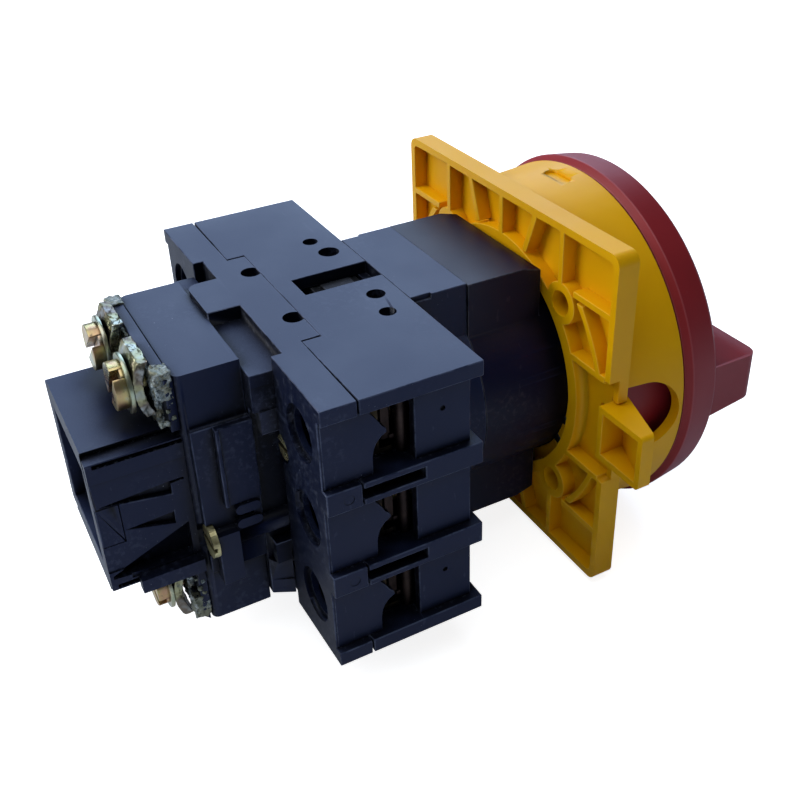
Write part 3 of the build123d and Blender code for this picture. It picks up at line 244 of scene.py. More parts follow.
class Shading:
    """A material's node tree, with short calls for the nodes that are used here."""

    def __init__(self, name):
        self.material = bpy.data.materials.new(name)
        self.material.use_nodes = True
        self.tree = self.material.node_tree
        self.shader = self.tree.nodes["Principled BSDF"]
        self.place = self.node("ShaderNodeTexCoord").outputs["Object"]

    def node(self, kind, **settings):
        made = self.tree.nodes.new(kind)
        for key, value in settings.items():
            setattr(made, key, value)
        return made

    def link(self, source, target):
        self.tree.links.new(source, target)

    def feed(self, socket, value):
        """Link a node's output, or set a plain value."""
        if isinstance(value, bpy.types.NodeSocket):
            self.link(value, socket)
        else:
            socket.default_value = value

    def range(self, value, low, high, to_low=0.0, to_high=1.0):
        """Value from low to high, mapped smoothly to another range and clamped."""
        made = self.node("ShaderNodeMapRange", interpolation_type="SMOOTHSTEP")
        self.link(value, made.inputs["Value"])
        made.inputs["From Min"].default_value = low
        made.inputs["From Max"].default_value = high
        made.inputs["To Min"].default_value = to_low
        made.inputs["To Max"].default_value = to_high
        return made.outputs["Result"]

    def math(self, operation, first, second):
        made = self.node("ShaderNodeMath", operation=operation)
        self.feed(made.inputs[0], first)
        self.feed(made.inputs[1], second)
        return made.outputs["Value"]

    def both(self, first, second):
        """Product of two masks, or of a mask and a number."""
        return self.math("MULTIPLY", first, second)

    def mix(self, amount, first, second):
        """Colour between first and second."""
        made = self.node("ShaderNodeMix", data_type="RGBA")
        self.feed(made.inputs["Factor"], amount)
        self.feed(made.inputs["A"], first)
        self.feed(made.inputs["B"], second)
        return made.outputs["Result"]

    def over(self, base, colour, mask, share):
        """Base with this share of a colour laid over it where the mask is 1."""
        return self.mix(self.both(mask, share), base, colour)

    def ramp(self, value, stops):
        """Colours along a value, from (position, colour) pairs."""
        made = self.node("ShaderNodeValToRGB")
        points = made.color_ramp.elements
        while len(points) < len(stops):
            points.new(1.0)
        for point, (position, colour) in zip(points, stops):
            point.position = position
            point.color = colour
        self.link(value, made.inputs["Fac"])
        return made.outputs["Color"]

    def noise(self, scale, detail=2.0, roughness=0.5, stretch=None):
        """Noise of about this many features per metre, from 0 to 1."""
        made = self.node("ShaderNodeTexNoise")
        made.inputs["Scale"].default_value = scale
        made.inputs["Detail"].default_value = detail
        made.inputs["Roughness"].default_value = roughness
        place = self.place
        if stretch:
            mapping = self.node("ShaderNodeMapping")
            mapping.inputs["Scale"].default_value = stretch
            self.link(place, mapping.inputs["Vector"])
            place = mapping.outputs["Vector"]
        self.link(place, made.inputs["Vector"])
        return made.outputs["Fac"]

    def clouds(self, scale, detail=4.0, roughness=0.6):
        """Soft patches of this many per metre, for a faint change of colour."""
        return self.range(self.noise(scale, detail, roughness), low=0.3, high=0.75)

    def smudges(self, scale, low, high, detail=4.0, roughness=0.6):
        """Surface roughness that wanders between low and high."""
        return self.range(self.noise(scale, detail, roughness), 0.3, 0.7, to_low=low, to_high=high)

    def specks(self, scale, radius, share):
        """1 in small round specks scattered at random, 0 elsewhere, in this share of the cells."""
        made = self.node("ShaderNodeTexVoronoi")
        made.inputs["Scale"].default_value = scale
        self.link(self.place, made.inputs["Vector"])
        random = self.node("ShaderNodeSeparateColor")
        self.link(made.outputs["Color"], random.inputs["Color"])
        rim = radius * scale
        inside = self.range(made.outputs["Distance"], low=rim, high=0.4 * rim)
        chosen = self.math("LESS_THAN", random.outputs["Red"], share)
        return self.both(inside, chosen)

    def dust(self, share):
        """Sparse specks of dust in loose patches."""
        patches = self.range(self.noise(scale=60.0, detail=3.0), low=0.45, high=0.62)
        coarse = self.specks(scale=420.0, radius=0.10 * MM, share=share)
        fine = self.specks(scale=1300.0, radius=0.05 * MM, share=share)
        return self.both(self.math("MAXIMUM", coarse, fine), patches)

    def edges(self):
        """1 on rounded edges, 0 elsewhere."""
        return self.node("ShaderNodeAttribute", attribute_name="rim").outputs["Fac"]

    def openness(self, reach, start, full):
        """From 0 to 1 as the open share of the surroundings within reach goes from start to full."""
        made = self.node("ShaderNodeAmbientOcclusion", samples=8)
        made.inputs["Distance"].default_value = reach
        return self.range(made.outputs["AO"], low=start, high=full)

    def crevices(self, reach, start=0.75, full=0.25):
        """1 deep in corners, 0 on open faces."""
        return self.openness(reach, start, full)

    def facing(self, axis):
        """1 on faces that look along this axis, 0 on others."""
        turned = self.node("ShaderNodeSeparateXYZ")
        self.link(self.node("ShaderNodeNewGeometry").outputs["True Normal"], turned.inputs["Vector"])
        return self.range(turned.outputs[axis], low=0.4, high=0.9)

    def bump(self, height, strength, distance):
        made = self.node("ShaderNodeBump")
        made.inputs["Strength"].default_value = strength
        made.inputs["Distance"].default_value = distance
        self.link(height, made.inputs["Height"])
        self.link(made.outputs["Normal"], self.shader.inputs["Normal"])

    def specular(self, level):
        self.shader.inputs["Specular IOR Level"].default_value = level

    def finish(self, colour, roughness):
        self.feed(self.shader.inputs["Base Color"], colour)
        self.feed(self.shader.inputs["Roughness"], roughness)
        return self.material


# Layers of the dark mouldings

def painted_sheen_and_shade(shading, base, colour, painted_top_sheen):
    """Base with a painted sheen on its open tops, painted shade darkening the faces at the rear and painted
    near-black shade in its recesses.
    """
    # Painted sheen: the open tops are lightened towards the sheen colour.
    tops = shading.both(shading.facing("Z"), shading.openness(reach=9.0 * MM, start=0.70, full=0.95))
    base = shading.mix(tops, base, painted_top_sheen)
    # Painted shade: faces that look to the rear are darkened.
    base = shading.over(base, dimmed(colour, 0.25), shading.facing("Y"), share=0.75)
    # Painted shade: recesses are darkened nearly to black.
    recesses = shading.crevices(reach=7.0 * MM, start=0.95, full=0.58)
    return shading.over(base, dimmed(colour, 0.12), recesses, share=0.97)


def scuffed_and_highlit(shading, base, wear_and_highlight):
    """Base with edges lightened by wear and by a painted highlight, a few long scratches and matted patches.
    """
    # Edges take the wear colour: partly wear, partly a painted highlight.
    edge_rub_and_highlight = shading.range(shading.noise(scale=260.0, detail=4.0, roughness=0.7), low=0.36, high=0.60)
    base = shading.over(base, wear_and_highlight, shading.both(shading.edges(), edge_rub_and_highlight), share=0.50)
    scratches = shading.range(shading.noise(scale=70.0, stretch=(1, 16, 6)), low=0.69, high=0.73)
    base = shading.over(base, wear_and_highlight, scratches, share=0.10)
    patches = shading.range(shading.noise(scale=55.0), low=0.52, high=0.66)
    matted = shading.range(shading.noise(scale=1100.0, detail=3.0, roughness=0.6), low=0.5, high=0.66)
    return shading.over(base, wear_and_highlight, shading.both(patches, matted), share=0.16)


def dust_and_rear_sheen(shading, share):
    """Mask of loose specks of dust, fluff in the corners of the tops, and a mottled coat on the faces at the
    rear that is partly dust and partly a painted sheen.
    """
    tufts = shading.range(shading.noise(scale=2200.0, detail=3.0, roughness=0.7), low=0.54, high=0.66)
    corners = shading.both(shading.crevices(reach=1.6 * MM), shading.facing("Z"))
    fluff = shading.both(shading.both(corners, tufts), 0.35)
    # Painted sheen: the faces at the rear get a mottled light coat, partly dust, partly standing in for
    # reflected light.
    grains = shading.range(shading.noise(scale=760.0, detail=6.0, roughness=0.80), low=0.50, high=0.70)
    rear_dust_and_sheen = shading.both(shading.both(shading.facing("Y"), grains), 0.15)
    return shading.math("MAXIMUM", shading.math("MAXIMUM", shading.dust(share), fluff), rear_dust_and_sheen)


# Materials

def moulded(name, colour, painted_top_sheen, wear_and_highlight, dust_and_sheen_tint, roughness, grain, dust_share):
    """Dark moulding with a fine grain, a painted sheen on its tops, painted shade at the rear and in its
    recesses, dust, and edges lightened by wear and by a painted highlight.
    """
    shading = Shading(name)
    clouds = shading.clouds(scale=45.0, detail=3.0, roughness=0.5)
    base = shading.mix(clouds, colour, dimmed(colour, 0.88))
    base = scuffed_and_highlit(shading, painted_sheen_and_shade(shading, base, colour, painted_top_sheen), wear_and_highlight)
    # The dust mask also carries the painted sheen on the faces at the rear.
    dust = dust_and_rear_sheen(shading, dust_share)
    base = shading.mix(dust, base, dust_and_sheen_tint)
    smudges = shading.smudges(scale=38.0, low=roughness - 0.05, high=roughness + 0.06)
    fine = shading.noise(scale=2600.0, detail=3.0, roughness=0.6)
    height = shading.math("ADD", fine, shading.both(dust, 2.0))
    shading.bump(height, strength=grain, distance=0.05 * MM)
    shading.specular(0.23)
    return shading.finish(base, shading.math("ADD", smudges, shading.both(dust, 0.3)))


def yellow_plastic():
    """Amber moulding: slightly translucent, with painted shade in its corners, grime, dust and faintly
    lighter edges.
    """
    shading = Shading("yellow_plastic")
    base = shading.mix(shading.clouds(scale=55.0), AMBER, AMBER_CLOUD)
    # Painted shade: corners are darkened to a deeper amber.
    base = shading.over(base, AMBER_PAINTED_SHADE, shading.crevices(reach=3.0 * MM), share=0.30)
    dirty = shading.range(shading.noise(scale=300.0, detail=4.0, roughness=0.7), low=0.5, high=0.7)
    grime = shading.both(shading.crevices(reach=0.8 * MM), dirty)
    base = shading.over(base, AMBER_GRIME, grime, share=0.4)
    base = shading.over(base, AMBER_EDGE, shading.edges(), share=0.22)
    base = shading.over(base, AMBER_SPECK, shading.dust(share=0.2), share=0.5)
    shading.bump(shading.noise(scale=1500.0, detail=3.0), strength=0.10, distance=0.04 * MM)
    shading.specular(0.20)
    shading.shader.inputs["Subsurface Weight"].default_value = 0.12
    shading.shader.inputs["Subsurface Radius"].default_value = (1.0, 0.5, 0.1)
    shading.shader.inputs["Subsurface Scale"].default_value = 1.2 * MM
    return shading.finish(base, shading.smudges(scale=40.0, low=0.40, high=0.52))


def red_plastic():
    """Crimson moulding with a bloom of dust."""
    shading = Shading("red_plastic")
    base = shading.mix(shading.clouds(scale=50.0), CRIMSON, CRIMSON_CLOUD)
    base = shading.over(base, CRIMSON_EDGE, shading.edges(), share=0.3)
    base = shading.over(base, CRIMSON_BLOOM, shading.dust(share=0.3), share=0.5)
    shading.bump(shading.noise(scale=1700.0, detail=3.0), strength=0.12, distance=0.04 * MM)
    shading.specular(0.36)
    return shading.finish(base, shading.smudges(scale=35.0, low=0.42, high=0.56))


def yellow_zinc(name, light, gold, shade, dirt):
    """Zinc under a yellow passivation that shows wear and turns greenish and pinkish, with painted shade in
    its corners.
    """
    shading = Shading(name)
    tints = ((0.28, light), (0.44, gold), (0.56, shade), (0.72, light))
    tint = shading.ramp(shading.noise(scale=210.0, detail=3.0, roughness=0.6), tints)
    stains = shading.range(shading.noise(scale=620.0, detail=4.0, roughness=0.7), low=0.58, high=0.72)
    base = shading.over(tint, ZINC_STAIN, stains, share=dirt)
    # Painted shade: corners and slots are darkened nearly to black.
    base = shading.over(base, ZINC_PAINTED_SHADE, shading.crevices(reach=0.8 * MM), share=0.85)
    metallic = shading.range(stains, 0.0, 1.0, to_low=1.0, to_high=0.55)
    shading.feed(shading.shader.inputs["Metallic"], metallic)
    pitted = shading.noise(scale=900.0, detail=4.0, roughness=0.6)
    shading.bump(pitted, strength=0.25, distance=0.05 * MM)
    return shading.finish(base, shading.smudges(scale=240.0, low=0.24, high=0.42, detail=3.0, roughness=0.5))


def corroded_zinc():
    """Terminal metal under a crust of grey and white corrosion with dark pits, and painted shade in its
    corners.
    """
    shading = Shading("corroded_zinc")
    crust = shading.range(shading.noise(scale=520.0, detail=5.0, roughness=0.7), low=0.44, high=0.60)
    metal_tint = shading.ramp(shading.noise(scale=260.0, detail=3.0, roughness=0.6), CORRODED_METAL)
    salts = shading.ramp(shading.noise(scale=1900.0, detail=4.0, roughness=0.7), CORRODED_SALTS)
    base = shading.mix(crust, metal_tint, salts)
    pits = shading.range(shading.noise(scale=1100.0, detail=4.0, roughness=0.6), low=0.44, high=0.34)
    base = shading.over(base, CORRODED_PIT, pits, share=0.85)
    # Painted shade: corners are darkened.
    base = shading.over(base, CORRODED_PAINTED_SHADE, shading.crevices(reach=0.9 * MM), share=0.8)
    metallic = shading.range(crust, 0.0, 1.0, to_low=0.85, to_high=0.1)
    shading.feed(shading.shader.inputs["Metallic"], metallic)
    rough_crust = shading.noise(scale=1600.0, detail=5.0, roughness=0.75)
    shading.bump(rough_crust, strength=0.7, distance=0.12 * MM)
    return shading.finish(base, shading.range(crust, 0.0, 1.0, to_low=0.38, to_high=0.8))


def metal(name, light, dark, roughness, metallic=1.0):
    """Stamped or drawn metal, dull and slightly stained, with painted shade deep in its recesses."""
    shading = Shading(name)
    stains = shading.range(shading.noise(scale=220.0, detail=4.0, roughness=0.7), low=0.35, high=0.7)
    base = shading.mix(stains, light, dark)
    # Painted shade: recesses are darkened nearly to black.
    recesses = shading.crevices(reach=4.0 * MM, start=0.7, full=0.3)
    base = shading.over(base, dimmed(dark, 0.2), recesses, share=0.90)
    shading.shader.inputs["Metallic"].default_value = metallic
    drawn = shading.noise(scale=1200.0, detail=3.0, roughness=0.6)
    shading.bump(drawn, strength=0.15, distance=0.03 * MM)
    low, high = roughness - 0.08, roughness + 0.1
    return shading.finish(base, shading.smudges(scale=150.0, low=low, high=high, detail=3.0, roughness=0.5))


materials = {
    "yellow_plastic": yellow_plastic(),
    "red_plastic": red_plastic(),
    # Each dark moulding's colours: its own tone, a painted sheen for the tops, a wear colour that also
    # paints a highlight on edges, and a dust colour that also paints a sheen at the rear.
    "black_plastic": moulded(
        "black_plastic", colour=srgb(17, 30, 66), painted_top_sheen=srgb(62, 72, 99), wear_and_highlight=srgb(96, 106, 134),
        dust_and_sheen_tint=srgb(150, 158, 176), roughness=0.46, grain=0.20, dust_share=0.35),
    "brown_black_plastic": moulded(
        "brown_black_plastic", colour=srgb(6, 13, 48), painted_top_sheen=srgb(34, 36, 54), wear_and_highlight=srgb(86, 86, 94),
        dust_and_sheen_tint=srgb(130, 128, 134), roughness=0.40, grain=0.10, dust_share=0.15),
    "contact_brass": metal("contact_brass", light=srgb(150, 116, 82), dark=srgb(84, 64, 50), roughness=0.40),
    "yellow_zinc": yellow_zinc(
        "yellow_zinc", light=srgb(188, 192, 176), gold=srgb(206, 190, 132), shade=srgb(196, 156, 124),
        dirt=0.6),
    "steel": metal("steel", light=srgb(170, 170, 174), dark=srgb(116, 116, 118), roughness=0.34),
}
corroded = corroded_zinc()
clamp_zinc = yellow_zinc(
    "clamp_zinc", light=srgb(40, 37, 34), gold=srgb(58, 50, 36), shade=srgb(32, 27, 24), dirt=0.9)
washer_zinc = yellow_zinc(
    "washer_zinc", light=srgb(186, 196, 188), gold=srgb(176, 186, 160), shade=srgb(204, 196, 168), dirt=0.5)
saddle_zinc = yellow_zinc(
    "saddle_zinc", light=srgb(176, 186, 188), gold=srgb(158, 158, 124), shade=srgb(118, 108, 98), dirt=0.8)
# Brighter, less metallic copy of the zinc for the screws in deep seats: a painted glint.
glint_lit_screw_zinc = metal(
    "glint_lit_screw_zinc", light=srgb(226, 220, 168), dark=srgb(134, 118, 80), roughness=0.28, metallic=0.65)
# Darker copy of the brass for the fixed contacts deep in the wire windows: partly darker metal, partly
# painted shade.
dull_shaded_brass = metal("dull_shaded_brass", light=srgb(76, 64, 60), dark=srgb(52, 44, 44), roughness=0.52)
# The carrier's moulding has the same painted sheen, shade and highlight as the others, and more dust.
dusty_plastic = moulded(
    "dusty_plastic", colour=srgb(58, 62, 74), painted_top_sheen=srgb(62, 66, 78), wear_and_highlight=srgb(110, 112, 122),
    dust_and_sheen_tint=srgb(150, 152, 158), roughness=0.60, grain=0.25, dust_share=0.6)


# Rounding of edges

def sharp(edge):
    """Whether an edge turns more than the smooth stretches of the round forms do."""
    return len(edge.link_faces) == 2 and edge.calc_face_angle(0.0) > SHARP_ANGLE


def breadth(face):
    """Rough width of a face across its longest edge."""
    longest = max(edge.calc_length() for edge in face.edges)
    return face.calc_area() / longest


def hollow_turn(edge):
    """Whether two faces meet at an edge in the gentle inward turn of a round wall."""
    if len(edge.link_faces) != 2 or edge.is_convex:
        return False
    return FACET_ANGLE < edge.calc_face_angle(0.0) < SHARP_ANGLE


def in_small_hole(face):
    """Whether a face is one of the narrow facets of a hole's wall."""
    return breadth(face) < FACET_BREADTH and any(hollow_turn(edge) for edge in face.edges)


def can_round(edge, width):
    """Whether a sharp convex edge and the faces beside it have room for a rounding of this width."""
    if not sharp(edge) or not edge.is_convex or edge.calc_length() <= EDGE_LENGTH * width:
        return False
    return all(breadth(face) > FACE_BREADTH * width and not in_small_hole(face) for face in edge.link_faces)


def crossings(face):
    """Points where the outline of a flat face crosses itself."""
    turned = face.normal.to_track_quat("Z", "Y").to_matrix().inverted()
    ring = [turned @ vertex.co for vertex in face.verts]
    count = len(ring)
    found = []
    for first in range(count - 2):
        for second in range(first + 2, count - (first == 0)):
            hit = intersect_line_line_2d(ring[first].xy, ring[first + 1].xy, ring[second].xy,
                                         ring[(second + 1) % count].xy)
            if hit:
                found.append(turned.inverted() @ Vector((*hit, ring[first].z)))
    return found


def near(edge, spots, reach):
    """Whether an edge passes closer to one of the spots than this."""
    start, end = (vertex.co for vertex in edge.verts)
    for spot in spots:
        along = intersect_point_line(spot, start, end)[1]
        place = start.lerp(end, min(max(along, 0), 1))
        if (place - spot).length < reach:
            return True
    return False


def round_edges(bm, width):
    """Copy with its convex edges rounded, apart from those beside which a face would fold over itself."""
    spots = []
    for attempt in range(1, ROUND_TRIES + 1):
        trial = bm.copy()
        rim = trial.faces.layers.float.new("rim")
        edges = [edge for edge in trial.edges
                 if can_round(edge, width) and not near(edge, spots, FOLD_CLEARANCE * attempt * width)]
        made = bmesh.ops.bevel(trial, geom=edges, offset=width, offset_type="OFFSET",
                               segments=ROUND_SEGMENTS, profile=0.5, affect="EDGES", clamp_overlap=False)
        for face in made["faces"]:
            face[rim] = 1.0
        trial.normal_update()
        folded = [spot for face in trial.faces if len(face.verts) > 4 for spot in crossings(face)]
        if not folded:
            break
        spots += folded
    return trial


# Building of meshes, in millimetres

def join_flat(bm):
    """Weld the vertices and join the triangles of each flat face."""
    bmesh.ops.remove_doubles(bm, verts=bm.verts, dist=WELD)
    bmesh.ops.dissolve_limit(bm, angle_limit=FLAT_ANGLE, verts=bm.verts, edges=bm.edges)


def node_mesh(node):
    """Bmesh of a node in millimetres."""
    bm = bmesh.new()
    bm.from_mesh(nodes[node].data)
    bmesh.ops.scale(bm, vec=(1 / MM, 1 / MM, 1 / MM), verts=bm.verts)
    join_flat(bm)
    return bm


def prism(bm, outline, push):
    """Add a solid from a flat outline of points, pushed along a vector."""
    start = [bm.verts.new(point) for point in outline]
    end = [bm.verts.new(Vector(point) + Vector(push)) for point in outline]
    faces = [bm.faces.new(start), bm.faces.new(end[::-1])]
    for first, (low, high) in enumerate(zip(start, end)):
        following = (first + 1) % len(start)
        faces.append(bm.faces.new((low, high, end[following], start[following])))
    bmesh.ops.recalc_face_normals(bm, faces=faces)


def slab(bm, x_range, y_range, z_range):
    """Add a box between three pairs of limits."""
    (left, right), (front, rear), (low, high) = (sorted(ends) for ends in (x_range, y_range, z_range))
    outline = [(left, front, low), (right, front, low), (right, front, high), (left, front, high)]
    prism(bm, outline, (0, rear - front, 0))


def arc_angles(start, end, steps):
    """Angles from start to end in equal steps."""
    return [start + (end - start) * step / steps for step in range(steps + 1)]


def circle_angles(sides):
    """Angles of the corners of a round outline."""
    return [math.tau * step / sides for step in range(sides)]


def across_x(centre, radius, angles):
    """Points at these angles about (x, y, z), in a plane across X."""
    x, y, z = centre
    return [(x, y + radius * math.cos(angle), z + radius * math.sin(angle)) for angle in angles]


def across_y(centre, radius, angles):
    """Points at these angles about (x, y, z), in a plane across Y."""
    x, y, z = centre
    return [(x + radius * math.cos(angle), y, z + radius * math.sin(angle)) for angle in angles]


def across_z(centre, radius, angles):
    """Points at these angles about (x, y, z), in a plane across Z."""
    x, y, z = centre
    return [(x + radius * math.cos(angle), y + radius * math.sin(angle), z) for angle in angles]


def disc(bm, centre, radius, length):
    """Add a round solid that runs along Y from its centre."""
    prism(bm, across_y(centre, radius, circle_angles(DISC_SIDES)), (0, length, 0))


def slotted_head(bm, centre, angle):
    """Add a screw head of two half moons, with a slot between them at this angle above its floor."""
    floor, top = HEAD_HEIGHTS
    reach = math.asin(HEAD_SLOT / 2 / HEAD_RADIUS)
    ends = []
    for turn in (angle, angle + math.pi):
        moon = arc_angles(turn + reach, turn + math.pi - reach, HEAD_STEPS)
        prism(bm, across_y(centre, HEAD_RADIUS, moon), (0, top, 0))
        ends += across_y(centre, HEAD_RADIUS, arc_angles(turn - reach, turn + reach, SLOT_STEPS))
    prism(bm, ends, (0, floor, 0))


def cut(bm, cutter):
    """Take the solids of another bmesh away from this one."""
    bodies = []
    for source in (bm, cutter):
        mesh = bpy.data.meshes.new("cut")
        source.to_mesh(mesh)
        bodies.append(bpy.data.objects.new("cut", mesh))
        bpy.context.scene.collection.objects.link(bodies[-1])
    modifier = bodies[0].modifiers.new("cut", "BOOLEAN")
    modifier.object = bodies[1]
    modifier.solver = "FAST"
    worked = bodies[0].evaluated_get(bpy.context.evaluated_depsgraph_get())
    bm.clear()
    bm.from_mesh(worked.to_mesh())
    worked.to_mesh_clear()
    for body in bodies:
        bpy.data.meshes.remove(body.data)
    cutter.free()
    join_flat(bm)


def crumble(bm, size, depth, beyond=0.0):
    """Break the surface up with lumps of this size and depth, farther than this from the middle height."""
    bmesh.ops.triangulate(bm, faces=bm.faces)
    for _ in range(LUMP_ROUNDS):
        long = [edge for edge in bm.edges if edge.calc_length() > LUMP_EDGE
                and max(abs(vertex.co.z) for vertex in edge.verts) > beyond]
        if not long:
            break
        bmesh.ops.subdivide_edges(bm, edges=long, cuts=1)
        bmesh.ops.triangulate(bm, faces=[face for face in bm.faces if len(face.verts) > 3])
    bm.normal_update()
    for vertex in bm.verts:
        if abs(vertex.co.z) > beyond:
            lump = noise.fractal(vertex.co / size, LUMP_FALLOFF, LUMP_LACUNARITY, LUMP_OCTAVES)
            vertex.co += vertex.normal * depth * lump


def add_piece(bm, node, material):
    """Object from a bmesh that stands for this node and rides on its body."""
    name = f"{node}_dressed"
    mesh = bpy.data.meshes.new(name)
    for face in bm.faces:
        face.smooth = True
    bmesh.ops.scale(bm, vec=(MM, MM, MM), verts=bm.verts)
    bm.to_mesh(mesh)
    bm.free()
    mesh.materials.append(material)
    mesh.set_sharp_from_angle(angle=SHARP_ANGLE)
    piece = bpy.data.objects.new(name, mesh)
    bpy.context.scene.collection.objects.link(piece)
    normals = piece.modifiers.new("weighted_normals", "WEIGHTED_NORMAL")
    normals.keep_sharp = True
    normals.weight = 80
    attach(piece, body_of[node])
    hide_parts(node)


def dressed(node, width, material=None, shape=None, lumps=None):
    """Copy of a node with rounded edges, optionally reshaped or broken up, in place of the node."""
    bm = node_mesh(node)
    if shape:
        shape(bm)
    bm = round_edges(bm, width)
    if lumps:
        crumble(bm, *lumps)
    add_piece(bm, node, material or materials[slots[node]])


# Changes to the shapes of single nodes

def raise_hump(bm):
    """Lift the barrel's hump level with the neck."""
    for vertex in bm.verts:
        if abs(vertex.co.z) > HUMP_FROM:
            vertex.co.z += math.copysign(HUMP_LIFT, vertex.co.z)


def sink_lug(bm):
    """Sink the carrier's lug in its slot."""
    for vertex in bm.verts:
        if vertex.co.z > LUG_FROM:
            vertex.co.z -= LUG_SINK


def sunken_rounds(bm, places, radius, depth):
    """Sink round pits of this depth in the outer sides of a shell."""
    pits = bmesh.new()
    for side in (-1, 1):
        for x, y, z in places:
            outline = across_x((side * (x + PIT_CLEARANCE), y, z), radius, circle_angles(PIT_SIDES))
            prism(pits, outline, (-side * (PIT_CLEARANCE + depth), 0, 0))
    cut(bm, pits)


def front_shell(bm):
    """Let the joint between the shells gape at the flanges' outer edges, and dimple the bay walls."""
    for vertex in bm.verts:
        if abs(vertex.co.y - SHELL_SEAM) < SEAM_REACH and abs(vertex.co.x) > SEAM_FROM:
            vertex.co.y -= SEAM_GAPE
    sunken_rounds(bm, DIMPLES, DIMPLE_RADIUS, DIMPLE_DEPTH)


def shape_columns(bm):
    """Taper the lower columns beside the auxiliary block, and lower their feet."""
    x, y, z = COLUMN_FROM
    for vertex in bm.verts:
        if vertex.co.z < z and abs(vertex.co.x) > x and vertex.co.y > y:
            vertex.co.x = math.copysign(COLUMN_REAR_X, vertex.co.x)
        in_column = vertex.co.y > COLUMN_FRONT and abs(vertex.co.x) < COLUMN_WITHIN
        if in_column and vertex.co.z < COLUMN_FOOT:
            vertex.co.z -= COLUMN_DROP


def lap_walls(bm):
    """Lap the rear shell's bay walls over the seam, each with a broken nib in its wire window."""
    for side in (-1, 1):
        for z in POLES:
            outline = [(side * NIB_X, y, z + rise) for y, rise in NIB_OUTLINE]
            prism(bm, outline, (-side * NIB_THICK, 0, 0))


def rear_shell(bm):
    """Shape the lower columns and join them to the towers, mark the flanges and lap the bay walls."""
    shape_columns(bm)
    sunken_rounds(bm, EJECTOR_MARKS, EJECTOR_RADIUS, EJECTOR_DEPTH)
    x_range, y_range, z_range = FOOT_WEB
    for side in (-1, 1):
        slab(bm, [side * x for x in x_range], y_range, z_range)
    lap_walls(bm)


def aux_ledges(bm):
    """Put a ledge in front of each row of terminals, and lower the block's underside."""
    x_range, y_range, z_range = LEDGE
    for side in (-1, 1):
        slab(bm, x_range, y_range, [side * z for z in z_range])
    for vertex in bm.verts:
        if vertex.co.z < BASE_DROP_FROM and vertex.co.y < y_range[0]:
            vertex.co.z -= BASE_DROP


def thin_heads(bm):
    """Flatten the heads of the block's fixing screws."""
    for vertex in bm.verts:
        if vertex.co.y > FIXING_SEAT:
            vertex.co.y = FIXING_SEAT + (vertex.co.y - FIXING_SEAT) * FIXING_SQUASH


def line_cover(bm):
    """Undercut the auxiliary cover's upper step and cut the outline of its latch."""
    x, z = COVER_STEP
    for vertex in bm.verts:
        if abs(abs(vertex.co.x) - x) < COVER_REACH and abs(abs(vertex.co.z) - z) < COVER_REACH:
            vertex.co.x -= math.copysign(COVER_UNDERCUT, vertex.co.x)
    inner, outer = COVER_WALL - LATCH_LINE_DEPTH, COVER_WALL + LATCH_LINE_CLEARANCE
    lines = bmesh.new()
    for side in (-1, 1):
        for y_range, z_range in LATCH_LINES:
            slab(lines, (side * inner, side * outer), y_range, z_range)
    cut(bm, lines)


def hook_ribs(side):
    """Shape function that gives a side latch its two round hook ribs."""
    def shape(bm):
        half = RIB_WIDTH / 2
        front, rear = RIB_Y
        for height in RIB_HEIGHTS:
            outline = []
            for y, turn in ((rear - half, 0), (front + half, math.pi)):
                angles = arc_angles(turn - math.pi / 2, turn + math.pi / 2, RIB_STEPS)
                outline += across_x((side * RIB_X, y, -side * height), half, angles)
            prism(bm, outline, (side * RIB_STAND, 0, 0))
    return shape


def add_rod(side, z):
    """Shape function that gives a fixed contact the upright rod seen in its wire window."""
    def shape(bm):
        for vertex in bm.verts:
            if abs(vertex.co.x) > STRIP_END:
                vertex.co.x = math.copysign(STRIP_END, vertex.co.x)
        x, y = ROD_AT
        outline = across_z((side * x, y, z - ROD_HALF_HEIGHT), ROD_RADIUS, circle_angles(ROD_SIDES))
        prism(bm, outline, (0, 0, 2 * ROD_HALF_HEIGHT))
        web_x, web_y, web_z = ROD_WEB
        slab(bm, [side * x for x in web_x], web_y, [z + rise for rise in web_z])
    return shape


def seat_saddle(bm):
    """Raise a saddle to the height of its screw."""
    for vertex in bm.verts:
        height = SADDLE_Z + (abs(vertex.co.z) - TERMINAL_NODE_Z) * SADDLE_STRETCH
        vertex.co.z = math.copysign(height, vertex.co.z)
        vertex.co.y += SADDLE_SHIFT


def crust(x_side, z_side):
    """Shape function that runs a terminal plate's crust over the ledge's end."""
    def shape(bm):
        slab(bm, [x_side * x for x in CRUST_X], CRUST_Y, [z_side * z for z in CRUST_Z])
        for x, y, z in CRUMBS:
            x_range = (x_side * x, x_side * (x + CRUMB))
            z_range = (z_side * z, z_side * (z + CRUMB))
            slab(bm, x_range, (y, y + CRUMB), z_range)
    return shape


def terminal_hardware():
    """Slotted screws and washers of the auxiliary terminals."""
    screws = bmesh.new()
    washers = bmesh.new()
    for (x_side, z_side), angle in SLOT_ANGLES.items():
        x, z = x_side * TERMINAL_X, z_side * TERMINAL_Z
        slotted_head(screws, (x, WASHER_REAR - HEAD_SINK, z), math.radians(angle))
        disc(screws, (x, SHANK_FRONT, z), SHANK_RADIUS, WASHER_REAR - SHANK_FRONT)
        disc(washers, (x, WASHER_REAR - WASHER_THICK, z), WASHER_RADIUS, WASHER_THICK)
    add_piece(round_edges(screws, METAL_ROUND), "aux_terminal_screws", materials["yellow_zinc"])
    add_piece(round_edges(washers, METAL_ROUND), "aux_washers", washer_zinc)


# Dressing of the nodes

